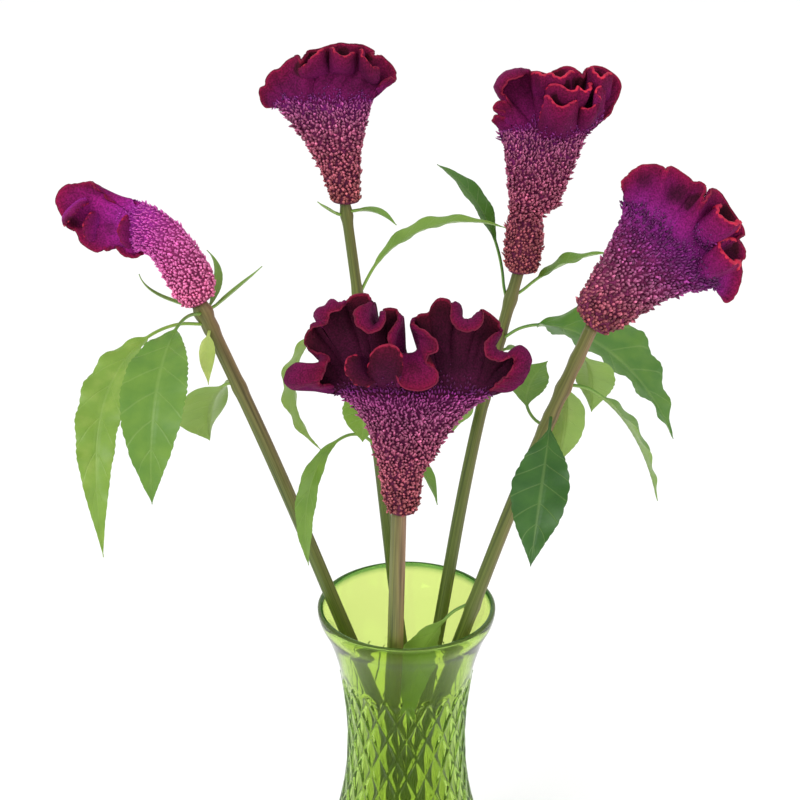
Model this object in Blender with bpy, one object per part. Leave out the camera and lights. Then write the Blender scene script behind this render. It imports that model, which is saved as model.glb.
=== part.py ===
"""Cockscomb celosia: five cut stems with crested heads and leaves, standing in a pressed-glass vase.

Lengths are in millimetres and angles in degrees; metres() scales a finished shape. +X is to the
right, +Y away from the viewer and +Z up. The origin is the centre of the vase's base.
"""

import math

import bpy
import numpy as np

# Driving dimensions of the vase
RIM_RADIUS = 52.5
VASE_HEIGHT = 229.0
WAIST_RADIUS = 35.2
WAIST_Z = 139.0
BULGE_RADIUS = 47.0
FOOT_RADIUS = 41.0
WALL = 4.0
LIP_WALL = 3.0
FLOOR_Z = 12.0
VASE_SIDES = 44

# Clearance kept between pieces that touch
SEAT_GAP = 0.3

# Stems: foot, point at the rim's height, top, sideways bow above the rim, foot and top radius
STEMS = {
    "a": dict(foot=(29.5, 20, 13.9), rim=(-43.5, 4.5, 229), top=(-114, -10.5, 425), bow=1.7, radii=(4.6, 3.9)),
    "b": dict(foot=(18, 26, 12.8), rim=(-8, 27, 229), top=(-34.5, 28, 470), bow=0.8, radii=(3.8, 2.9)),
    "c": dict(foot=(-12.5, -17, 13.6), rim=(25.5, 35, 229), top=(66.5, 82.5, 408), bow=-3.2, radii=(4.4, 3.5)),
    "d": dict(foot=(-31.5, -5, 13.7), rim=(34, -25.5, 229), top=(98.5, -43, 424), bow=-2.4, radii=(4.6, 3.7)),
    "e": dict(foot=(-14, 28, 14), rim=(-6.5, -42, 229), top=(-4.5, -76.5, 331), bow=0.0, radii=(5.4, 4.2)),
}
STEM_LEVELS = 11

# Heads, seen from the front and measured from the top of the stem as (right, up): the radius of the neck,
# the left and right of the flare that pulls the sides in, and the crest from its left to its right end.
HEADS = {
    "a": dict(
        neck=8.0,
        flare=((-18, 29), (-5, 47)),
        crest=[(-54, 29), (-65, 38), (-74, 53), (-72, 64), (-62, 69), (-48, 66), (-38, 59), (-27, 57)],
    ),
    "b": dict(
        neck=8.0,
        flare=((-10, 26), (9, 35)),
        crest=[(-44, 56), (-44, 67), (-35, 77), (-22, 83), (-8, 88), (6, 90), (17, 85), (27, 78), (27, 68)],
    ),
    "c": dict(
        neck=8.5,
        flare=((-7, 44), (16, 40)),
        crest=[(-14, 92), (-15, 106), (-10, 121), (3, 123), (14, 121), (25, 125), (35, 122), (45, 125), (55, 118),
               (54, 104)],
    ),
    "d": dict(
        neck=7.5,
        flare=((5, 33), (37, 21)),
        crest=[(12, 80), (20, 90), (34, 89), (46, 84), (56, 78), (66, 69), (77, 54), (78, 38), (77, 21)],
    ),
    "e": dict(
        neck=9.0,
        flare=((-5, 40), (12, 40)),
        crest=[(-56, 74), (-59, 83), (-49, 91), (-47, 104), (-36, 117), (-19, 124), (-12, 111), (1, 113), (5, 100),
               (12, 110), (26, 121), (33, 111), (45, 115), (52, 101), (60, 97), (69, 88), (64, 76)],
    ),
}
HEAD_COLUMNS = 44
HEAD_ROWS = 9
FLARE_DEPTH = 13.0
CREST_DEPTH = 4.0
CREST_WAVES = 4.5
CREST_SWING = 12.0

# Leaves: height on the stem where they grow out, azimuth (0 right, 90 back), climb at the root and at the
# tip, how late they bend, sideways swing, petiole and blade length, blade width, roll about the midrib
LEAF_KEYS = ("stem", "height", "azimuth", "climb", "end", "late", "swing", "petiole", "blade", "width", "roll")
LEAVES = {
    "leaf_a1": ("a", 412, 213, 29, -79, 0.64, 82, 32, 135, 24, 0),
    "leaf_a2": ("a", 419, 256, 26, -94, 1.07, 10, 20, 127, 36, 0),
    "leaf_a3": ("a", 373, 139, 1, -96, 0.50, 5, 8, 42, 27, 0),
    "leaf_a4": ("a", 409, 262, -40, -100, 0.60, 0, 3, 28, 8, 0),
    "bract_a5": ("a", 421, 163, 11, 78, 2.60, 11, 2, 35, 4, 0),
    "bract_a6": ("a", 419, 60, 33, 15, 1.15, 68, 2, 45, 5, 0),
    "bract_a7": ("a", 420, 11, 37, 40, 1.0, 0, 2, 35, 4.5, 0),
    "bract_b1": ("b", 464, -25, 28, -41, 0.9, 1, 2, 27, 6, 0),
    "bract_b2": ("b", 462, 206, 30, 41, 1.0, 0, 2, 15, 4, 0),
    "leaf_b3": ("b", 416, 18, 82, -23, 0.7, -6, 14, 86, 14, 0),
    "leaf_b4": ("b", 398, 147, -11, -135, 0.98, 25, 20, 95, 15, 0),
    "leaf_b5": ("b", 322, 219, 74, -116, 0.62, 42, 28, 88, 15, 0),
    "leaf_b6": ("b", 363, 262, -30, -80, 0.87, 0, 5, 32, 17, 0),
    "leaf_b7": ("b", 324, -21, -6, -78, 0.8, -4, 10, 43, 12, 0),
    "leaf_c1": ("c", 391, 147, 87, 12, 1.32, -9, 34, 62, 15, 0),
    "leaf_c2": ("c", 394, 10, 45, 4, 1.0, -6, 14, 45, 11, 0),
    "leaf_c3": ("c", 370, -37, 62, -66, 0.6, 10, 24, 114, 40, 0),
    "leaf_c4": ("c", 335, 209, -27, -67, 1.0, 0, 4, 22, 18, 0),
    "leaf_c5": ("c", 361, 25, 20, -80, 0.95, -6, 2, 16, 9, 0),
    "leaf_d1": ("d", 370, 261, -30, -60, 1.2, -7, 14, 72, 30, 0),
    "leaf_d2": ("d", 386, 75, 0, -135, 0.4, -10, 6, 46, 16, 0),
    "leaf_d3": ("d", 405, 60, -24, -95, 0.63, 0, 6, 40, 17, 0),
    "leaf_d4": ("d", 388, 6, 28, -78, 0.28, -6, 12, 80, 10, 0),
    "leaf_d5": ("d", 244, 181, -20, -94, 0.5, 0, 14, 80, 13, 90),
    "leaf_d6": ("d", 362, 126, -1, 28, 0.52, -90, 18, 38, 18, 0),
}
LEAF_THICKNESS = 1.0
PETIOLE_WIDTH = 1.8
LEAF_FOLD = 18.0
LEAF_ROWS = 13

# Finishes: sRGB colour, roughness
GLASS_COLOUR = (0.62, 0.76, 0.42)
STEM_COLOUR = (0.47, 0.50, 0.26)
HEAD_COLOUR = (0.33, 0.07, 0.22)
LEAF_COLOUR = (0.36, 0.53, 0.24)


def clear_scene():
    for item in list(bpy.data.objects):
        bpy.data.objects.remove(item)


def finish(name, colour, roughness):
    """A Principled material of one plain colour."""
    material = bpy.data.materials.new(name)
    material.use_nodes = True
    shader = material.node_tree.nodes["Principled BSDF"]
    shader.inputs["Base Color"].default_value = (*(c**2.2 for c in colour), 1.0)
    shader.inputs["Roughness"].default_value = roughness
    return material


def metres(points):
    return [tuple(float(c) * 0.001 for c in p) for p in points]


def add_object(name, data, material):
    item = bpy.data.objects.new(name, data)
    bpy.context.scene.collection.objects.link(item)
    item.data.materials.append(material)
    return item


def add_mesh(name, points, faces, material, edges=()):
    mesh = bpy.data.meshes.new(name)
    mesh.from_pydata(metres(points), list(edges), faces)
    mesh.update()
    item = add_object(name, mesh, material)
    mesh.shade_smooth()
    mesh.set_sharp_from_angle(angle=math.radians(50))
    return item


# Glass vase: its profile turned about +Z


def outer_profile():
    """Outside of the vase from the rim down to the foot, as (radius, height)."""
    return [
        (RIM_RADIUS - 0.5, VASE_HEIGHT - 0.8),
        (RIM_RADIUS, VASE_HEIGHT - 2.2),
        (RIM_RADIUS - 0.7, 222),
        (RIM_RADIUS - 5.5, 211),
        (RIM_RADIUS - 9.6, 199),
        (39.9, 187),
        (37.8, 175),
        (36.4, 163),
        (35.4, 150),
        (WAIST_RADIUS, WAIST_Z),
        (35.6, 124),
        (36.9, 109),
        (39.8, 92),
        (43.6, 75),
        (BULGE_RADIUS - 0.6, 58),
        (BULGE_RADIUS, 42),
        (BULGE_RADIUS - 1.6, 25),
        (FOOT_RADIUS + 1.2, 8),
        (FOOT_RADIUS, 1.2),
        (FOOT_RADIUS - 1.2, 0),
    ]


def inner_profile():
    """Inside of the vase from the floor's centre up to the rim, as (radius, height)."""
    wall = [(r - WALL, z) for r, z in outer_profile() if FLOOR_Z + 10 < z < VASE_HEIGHT - 5]
    floor = [(0, FLOOR_Z), (36, FLOOR_Z), (39.6, FLOOR_Z + 0.6), (40.8, FLOOR_Z + 4)]
    lip = [(RIM_RADIUS - LIP_WALL, VASE_HEIGHT - 1.6), (RIM_RADIUS - LIP_WALL / 2, VASE_HEIGHT)]
    return floor + wall[::-1] + lip


def make_vase(material):
    profile = inner_profile() + outer_profile() + [(0, 0)]
    points = [(r, 0, z) for r, z in profile]
    edges = [(i, i + 1) for i in range(len(points) - 1)]
    vase = add_mesh("vase", points, [], material, edges)
    turn = vase.modifiers.new("turn", "SCREW")
    turn.axis = "Z"
    turn.angle = math.tau
    turn.steps = VASE_SIDES
    turn.render_steps = VASE_SIDES
    turn.use_merge_vertices = True
    turn.merge_threshold = 0.00001
    turn.use_smooth_shade = True
    return vase


# Cut stems


def stem_point(key, height):
    """Centre of a stem at a height: straight inside the vase, bowed sideways a little above the rim."""
    stem = STEMS[key]
    foot, rim, top = (np.array(stem[end], float) for end in ("foot", "rim", "top"))
    if height <= rim[2]:
        return foot + (rim - foot) * (height - foot[2]) / (rim[2] - foot[2])
    share = (height - rim[2]) / (top[2] - rim[2])
    return rim + (top - rim) * share + np.array([stem["bow"] * math.sin(math.pi * share), 0, 0])


def stem_radius(key, height):
    stem = STEMS[key]
    return float(np.interp(height, (stem["foot"][2], stem["top"][2]), stem["radii"]))


def make_stem(key, material):
    curve = bpy.data.curves.new(f"stem_{key}", "CURVE")
    curve.dimensions = "3D"
    curve.bevel_depth = 0.001
    curve.bevel_resolution = 2
    curve.use_fill_caps = True
    heights = np.linspace(STEMS[key]["foot"][2], STEMS[key]["top"][2], STEM_LEVELS)
    line = curve.splines.new("POLY")
    line.points.add(STEM_LEVELS - 1)
    for point, height in zip(line.points, heights):
        point.co = (*(stem_point(key, height) * 0.001), 1.0)
        point.radius = stem_radius(key, height)
    return add_object(f"stem_{key}", curve, material)


# Crested heads


def along(points, shares):
    """Points at these shares of a polyline's length."""
    points = np.array(points, float)
    steps = np.linalg.norm(np.diff(points, axis=0), axis=1)
    travelled = np.concatenate([[0], np.cumsum(steps)]) / steps.sum()
    return np.stack([np.interp(shares, travelled, points[:, i]) for i in range(points.shape[1])], 1)


def blend(start, middle, end, share):
    """Quadratic Bezier from start to end."""
    return start * (1 - share) ** 2 + middle * 2 * share * (1 - share) + end * share**2


def stem_lean(key):
    """Direction of a stem at its top."""
    height = STEMS[key]["top"][2]
    lean = stem_point(key, height) - stem_point(key, height - 10)
    return lean / np.linalg.norm(lean)


def neck_ring(key, turn):
    """Round underside of a head, square to the stem and just clear of its cut top."""
    lean = stem_lean(key)
    right = np.cross((0, 1, 0), lean)
    right /= np.linalg.norm(right)
    rear = np.cross(lean, right)
    radius = HEADS[key]["neck"]
    centre = np.array(STEMS[key]["top"]) + lean * SEAT_GAP
    return centre - radius * (np.outer(np.cos(turn), right) + np.outer(np.sin(turn), rear))


def front_row(key, row, across, depth):
    """A row given from the front as (right, up) points, placed behind or before the stem's top by depth."""
    flat = along(HEADS[key][row], across)
    return np.stack([flat[:, 0], depth, flat[:, 1]], 1) + np.array(STEMS[key]["top"])


def make_head(key, material):
    """Rings from the neck up to the crest. A ring runs to the right along the front and back to the left
    along the rear. Towards the crest the rings flatten and swing forward and back in waves."""
    turn = np.linspace(0, math.tau, HEAD_COLUMNS, endpoint=False)
    across = (1 - np.cos(turn)) / 2
    wave = CREST_SWING * np.sin(math.tau * CREST_WAVES * across) * np.sin(math.pi * across)
    neck = neck_ring(key, turn)
    flare = front_row(key, "flare", across, -FLARE_DEPTH * np.sin(turn))
    crest = front_row(key, "crest", across, wave - CREST_DEPTH * np.sin(turn))
    points = np.concatenate([blend(neck, flare, crest, share) for share in np.linspace(0, 1, HEAD_ROWS)])
    faces = []
    for row in range(HEAD_ROWS - 1):
        for i in range(HEAD_COLUMNS):
            j = (i + 1) % HEAD_COLUMNS
            low, high = row * HEAD_COLUMNS, (row + 1) * HEAD_COLUMNS
            faces.append((low + i, low + j, high + j, high + i))
    top = (HEAD_ROWS - 1) * HEAD_COLUMNS
    half = HEAD_COLUMNS // 2
    faces.append((top, top + 1, top + HEAD_COLUMNS - 1))
    for i in range(1, half - 1):
        faces.append((top + i, top + i + 1, top + HEAD_COLUMNS - i - 1, top + HEAD_COLUMNS - i))
    faces.append((top + half - 1, top + half, top + half + 1))
    faces.append(tuple(range(HEAD_COLUMNS - 1, -1, -1)))
    return add_mesh(f"head_{key}", points, faces, material)


# Leaves


def midrib(leaf):
    """Path of a leaf's midrib, from its root on the stem to its tip, and the direction across the blade."""
    length = leaf["petiole"] + leaf["blade"]
    rows = np.linspace(0, 1, LEAF_ROWS)
    middle = (rows[1:] + rows[:-1]) / 2
    climb = np.radians(leaf["climb"] + (leaf["end"] - leaf["climb"]) * middle ** leaf["late"])
    heading = np.radians(leaf["azimuth"] + leaf["swing"] * middle)
    steps = np.stack([np.cos(climb) * np.cos(heading), np.cos(climb) * np.sin(heading), np.sin(climb)], 1)
    steps *= length / (LEAF_ROWS - 1)
    reach = stem_radius(leaf["stem"], leaf["height"]) + LEAF_THICKNESS / 2 + SEAT_GAP
    start = math.radians(leaf["azimuth"])
    root = stem_point(leaf["stem"], leaf["height"]) + reach * np.array([math.cos(start), math.sin(start), 0])
    path = root + np.concatenate([np.zeros((1, 3)), np.cumsum(steps, 0)])
    heading = np.radians(leaf["azimuth"] + leaf["swing"] * rows)
    across = np.stack([-np.sin(heading), np.cos(heading), np.zeros(LEAF_ROWS)], 1)
    along_rib = np.gradient(path, axis=0)
    along_rib /= np.linalg.norm(along_rib, axis=1)[:, None]
    up = np.cross(along_rib, across)
    roll = math.radians(leaf["roll"]) * np.clip(rows * 2, 0, 1)
    turned = across * np.cos(roll)[:, None] + up * np.sin(roll)[:, None]
    return path, turned, np.cross(along_rib, turned)


def half_widths(leaf):
    """A lance-shaped blade after a thin petiole: widest at a third of its length, with a pointed tip."""
    share = np.linspace(0, leaf["petiole"] + leaf["blade"], LEAF_ROWS)
    t = np.clip((share - leaf["petiole"]) / leaf["blade"], 0, 1)
    outline = np.sin(math.pi * t**0.65) ** 0.9
    return np.maximum(leaf["width"] / 2 * outline, PETIOLE_WIDTH / 2 * (1 - 0.6 * t))


def make_leaf(name, leaf, material):
    """A folded strip along the midrib, three points wide, given its thickness by Solidify."""
    path, across, up = midrib(leaf)
    half = half_widths(leaf)[:, None]
    raised = half * math.sin(math.radians(LEAF_FOLD)) * up
    left = path - across * half * math.cos(math.radians(LEAF_FOLD)) + raised
    right = path + across * half * math.cos(math.radians(LEAF_FOLD)) + raised
    points = np.stack([left, path, right], 1).reshape(-1, 3)
    faces = []
    for row in range(LEAF_ROWS - 1):
        for i in (0, 1):
            low, high = row * 3 + i, row * 3 + 3 + i
            faces.append((low, low + 1, high + 1, high))
    item = add_mesh(name, points, faces, material)
    solid = item.modifiers.new("thickness", "SOLIDIFY")
    solid.thickness = LEAF_THICKNESS * 0.001
    solid.offset = 0.0
    solid.use_even_offset = False
    return item


def main():
    clear_scene()
    glass = finish("pressed green glass", GLASS_COLOUR, 0.05)
    make_vase(glass)
    for key in STEMS:
        make_stem(key, finish(f"stem {key}", STEM_COLOUR, 0.55))
        make_head(key, finish(f"crest {key}", HEAD_COLOUR, 0.8))
    for name, row in LEAVES.items():
        leaf = dict(zip(LEAF_KEYS, row))
        make_leaf(name, leaf, finish(name, LEAF_COLOUR, 0.5))
    bpy.context.view_layer.update()


main()
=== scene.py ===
"""Looks of the cockscomb celosia: five crested flower heads on leafy stems in a green pressed-glass vase.

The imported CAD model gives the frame. Lengths are in millimetres until a mesh is made, angles in degrees.
+X is to the right, +Y away from the viewer and +Z up. The origin is the centre of the vase's base.
"""

import math

import bpy
import numpy as np
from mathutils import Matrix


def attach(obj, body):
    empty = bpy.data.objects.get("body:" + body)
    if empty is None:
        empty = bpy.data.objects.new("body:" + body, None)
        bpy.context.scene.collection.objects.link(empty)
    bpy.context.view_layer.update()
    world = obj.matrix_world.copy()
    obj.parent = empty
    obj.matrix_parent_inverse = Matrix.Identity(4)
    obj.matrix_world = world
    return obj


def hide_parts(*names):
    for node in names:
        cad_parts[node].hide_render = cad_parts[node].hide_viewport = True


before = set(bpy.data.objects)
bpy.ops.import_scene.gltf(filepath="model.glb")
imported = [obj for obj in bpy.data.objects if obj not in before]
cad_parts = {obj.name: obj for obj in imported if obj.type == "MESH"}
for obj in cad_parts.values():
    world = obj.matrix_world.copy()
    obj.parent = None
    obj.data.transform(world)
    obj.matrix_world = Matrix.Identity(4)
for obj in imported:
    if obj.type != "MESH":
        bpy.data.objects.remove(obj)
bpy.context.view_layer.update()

MM = 0.001
TURN = 2 * math.pi
# Colour sockets of a Mix node
MIX_A, MIX_B, MIX_OUT = 6, 7, 2

# Vase, its profile from the foot up to the rim as (radius, height), and its lattice
RIM_RADIUS = 52.5
VASE_HEIGHT = 229.0
WALL = 4.0
FLOOR_Z = 12.0
# The rounded lip: radius and height of its middle, and how round it is
LIP = (51.0, 227.3, 1.6)
VASE_PROFILE = np.array([
    (39.8, 0), (41, 1.2), (42.2, 8), (45.4, 25), (47, 42), (46.4, 58), (43.6, 75), (39.8, 92), (36.9, 109),
    (35.6, 124), (35.2, 139), (35.4, 150), (36.4, 163), (37.8, 175), (39.9, 187), (42.9, 199), (47, 211),
    (51.8, 222), (RIM_RADIUS, 226.8), (52, 228.2),
])
GLASS_COLUMNS = 320
DIAMONDS = 20
DIAMOND_HEIGHT = 26.0
RIDGE_HEIGHT = 0.9
RIDGE_SHARE = 0.085
HOLLOW_DEPTH = 0.7
LATTICE_FOOT = 16.0
LATTICE_TOP = 179.0
SCALLOP = 4.0
BORDER_SHARE = 0.7
BORDER_WIDTH = 1.1

# Stems: foot, point at the rim's height, top, sideways bow above the rim, foot and top radius, and how
# red-brown the flank and the upper end are
STEM_KEYS = ("foot", "rim", "top", "bow", "radii", "blush")
STEMS = {key: dict(zip(STEM_KEYS, row)) for key, row in {
    "a": ((29.5, 20, 13.9), (-43.5, 4.5, 229), (-114, -10.5, 425), 1.7, (4.6, 3.9), 0.5),
    "b": ((18, 26, 12.8), (-8, 27, 229), (-34.5, 28, 470), 0.8, (3.8, 2.9), 0.25),
    "c": ((-12.5, -17, 13.6), (25.5, 35, 229), (66.5, 82.5, 408), -3.2, (4.4, 3.5), 0.35),
    "d": ((-31.5, -5, 13.7), (34, -25.5, 229), (98.5, -43, 424), -2.4, (4.6, 3.7), 0.6),
    "e": ((-14, 28, 14), (-6.5, -42, 229), (-4.5, -76.5, 331), 0.0, (5.4, 4.2), 0.7),
}.items()}
STEM_ROWS = 150
STEM_COLUMNS = 42
RIB_DEPTH = 0.025
NODE_SWELL = 0.5

# Leaves: height on the stem where they grow out, azimuth (0 right, 90 back), climb at the root and at the
# tip, how late they bend, sideways swing, petiole and blade length, blade width, roll about the midrib
LEAF_KEYS = (
    "stem", "height", "azimuth", "climb", "end", "late", "swing", "petiole", "blade", "width", "roll",
)
LEAVES = {
    "leaf_a1": ("a", 412, 213, 29, -79, 0.64, 82, 32, 135, 24, 0),
    "leaf_a2": ("a", 419, 256, 26, -94, 1.07, 10, 20, 127, 36, 0),
    "leaf_a3": ("a", 373, 139, 1, -96, 0.50, 5, 8, 42, 27, 0),
    "leaf_a4": ("a", 409, 262, -40, -100, 0.60, 0, 3, 28, 8, 0),
    "bract_a5": ("a", 421, 163, 11, 78, 2.60, 11, 2, 35, 4, 0),
    "bract_a6": ("a", 419, 60, 33, 15, 1.15, 68, 2, 45, 5, 0),
    "bract_a7": ("a", 420, 11, 37, 40, 1.0, 0, 2, 35, 4.5, 0),
    "bract_b1": ("b", 464, -25, 28, -41, 0.9, 1, 2, 27, 6, 0),
    "bract_b2": ("b", 462, 206, 30, 41, 1.0, 0, 2, 15, 4, 0),
    "leaf_b3": ("b", 416, 18, 82, -23, 0.7, -6, 14, 86, 14, 0),
    "leaf_b4": ("b", 398, 147, -11, -135, 0.98, 25, 20, 95, 15, 0),
    "leaf_b5": ("b", 322, 219, 74, -116, 0.62, 42, 28, 88, 15, 0),
    "leaf_b6": ("b", 363, 262, -30, -80, 0.87, 0, 5, 32, 17, 0),
    "leaf_b7": ("b", 324, -21, -6, -78, 0.8, -4, 10, 43, 12, 0),
    "leaf_c1": ("c", 391, 147, 87, 12, 1.32, -9, 34, 62, 15, 0),
    "leaf_c2": ("c", 394, 10, 45, 4, 1.0, -6, 14, 45, 11, 0),
    "leaf_c3": ("c", 370, -37, 62, -66, 0.6, 10, 24, 114, 40, 0),
    "leaf_c4": ("c", 335, 209, -27, -67, 1.0, 0, 4, 22, 18, 0),
    "leaf_c5": ("c", 361, 25, 20, -80, 0.95, -6, 2, 16, 9, 0),
    "leaf_d1": ("d", 370, 261, -30, -60, 1.2, -7, 14, 72, 30, 0),
    "leaf_d2": ("d", 386, 75, 0, -135, 0.4, -10, 6, 46, 16, 0),
    "leaf_d3": ("d", 405, 60, -24, -95, 0.63, 0, 6, 40, 17, 0),
    "leaf_d4": ("d", 388, 6, 28, -78, 0.28, -6, 12, 80, 10, 0),
    "leaf_d5": ("d", 244, 181, -20, -94, 0.5, 0, 14, 80, 13, 90),
    "leaf_d6": ("d", 362, 126, -1, 28, 0.52, -90, 18, 38, 18, 0),
}
LEAF_THICKNESS = 1.0
SEAT_GAP = 0.3
PETIOLE_WIDTH = 1.8
LEAF_FOLD = 18.0
LEAF_ROWS = 13
BLADE_HALF = 0.22
VEINS = 14
VEIN_LEAN = 1.9
VEIN_DEPTH = 0.22
MARGIN_WAVE = 19.0
TOOTH_STEP = 4.6
TOOTH_SHARE = 0.045
# How pale each leaf is (0 deep green, 1 yellow-green), how much its margin waves, how much further out than
# in the model its blade starts (both in millimetres), how much wider it is than there, and where along the
# blade it is widest
LEAF_LOOKS = {
    "leaf_a1": (0.6, 1.6, 4, 1.1, 0.35), "leaf_a2": (0.4, 0.8, 22, 1.0, 0.45),
    "leaf_a3": (0.58, 2.0, 0, 1.9, 0.45), "leaf_a4": (0.8, 1.6, 0, 1.2, 0.3),
    "bract_a5": (0.45, 0.2, 0, 1.0, 0.35), "bract_a6": (0.5, 0.2, 0, 1.1, 0.35),
    "bract_a7": (0.5, 0.2, 0, 1.1, 0.35), "bract_b1": (0.45, 0.3, 0, 1.4, 0.45),
    "bract_b2": (0.5, 0.2, 0, 1.2, 0.35), "leaf_b3": (0.52, 0.9, 0, 1.2, 0.42),
    "leaf_b4": (0.6, 1.4, 0, 1.5, 0.45), "leaf_b5": (0.5, 1.0, 0, 0.9, 0.45),
    "leaf_b6": (0.55, 0.8, 0, 1.5, 0.45), "leaf_b7": (0.45, 0.5, 0, 1.2, 0.4),
    "leaf_c1": (0.26, 0.7, 0, 1.1, 0.45), "leaf_c2": (0.45, 1.8, 0, 1.3, 0.4),
    "leaf_c3": (0.3, 1.8, 2, 1.4, 0.36), "leaf_c4": (0.55, 1.0, 0, 1.2, 0.4),
    "leaf_c5": (0.45, 0.4, 0, 1.0, 0.4), "leaf_d1": (0.02, 1.0, -8, 1.08, 0.5),
    "leaf_d2": (0.6, 0.9, 0, 1.35, 0.45), "leaf_d3": (0.5, 0.9, 0, 1.6, 0.45),
    "leaf_d4": (0.4, 1.0, 4, 2.3, 0.45), "leaf_d5": (0.4, 0.8, 0, 1.7, 0.34),
    "leaf_d6": (0.42, 0.9, 0, 1.35, 0.5),
}

# Heads, measured in millimetres to the right of and above the stem's top. A cone row is its left and right
# end and its half depth. A crest column is a point of the growing line (right, up, back). Where the edge
# curls over, it is the top of the curl (right, up), the growing line (right, up) and how far back the two
# lie. Crest heights are as seen from the photograph's pitch.
PITCH = 24.444
TILT = math.tan(math.radians(PITCH))
CONES = {
    "a": [
        ((-6, -3), (7, 3), 6.0), ((-10, 1), (9, 10), 8.5), ((-14, 8), (6, 21), 9.5), ((-18, 16), (0, 31), 10),
        ((-22, 24), (-6, 40), 10), ((-27, 29), (-15, 49), 9), ((-34, 30), (-27, 56), 7),
    ],
    "b": [
        ((-7, 0), (8, 0), 7.0), ((-9, 8), (8, 8), 8.0), ((-12, 17), (8, 17), 9), ((-18, 29), (9, 30), 10),
        ((-25, 40), (11, 40), 9.5), ((-32, 49), (13, 48), 8), ((-39, 56), (15, 56), 6),
    ],
    "c": [
        ((-6, 0), (10, 0), 7.0), ((-8, 9), (12, 8), 8.5), ((-7, 27), (13, 27), 8.5), ((-6, 33), (12, 33), 8),
        ((-6, 42), (21, 42), 9.5), ((-8, 60), (28, 60), 9), ((-10, 76), (34, 76), 7),
        ((-12, 86), (37, 84), 5),
    ],
    "d": [
        ((-5, 4), (7, -4), 6.5), ((-8, 12), (15, 0), 8.5), ((-3, 24), (24, 7), 10), ((4, 38), (34, 14), 10.5),
        ((9, 50), (46, 19), 9.5), ((13, 61), (58, 21), 8), ((15, 71), (66, 22), 6),
    ],
    "e": [
        ((-5, 0), (9, 0), 6.5), ((-8, 9), (11, 9), 8.5), ((-9, 21), (12, 22), 9.5), ((-12, 35), (19, 34), 10),
        ((-16, 49), (27, 48), 10), ((-22, 60), (36, 59), 9), ((-31, 69), (47, 68), 7),
    ],
}
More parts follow.
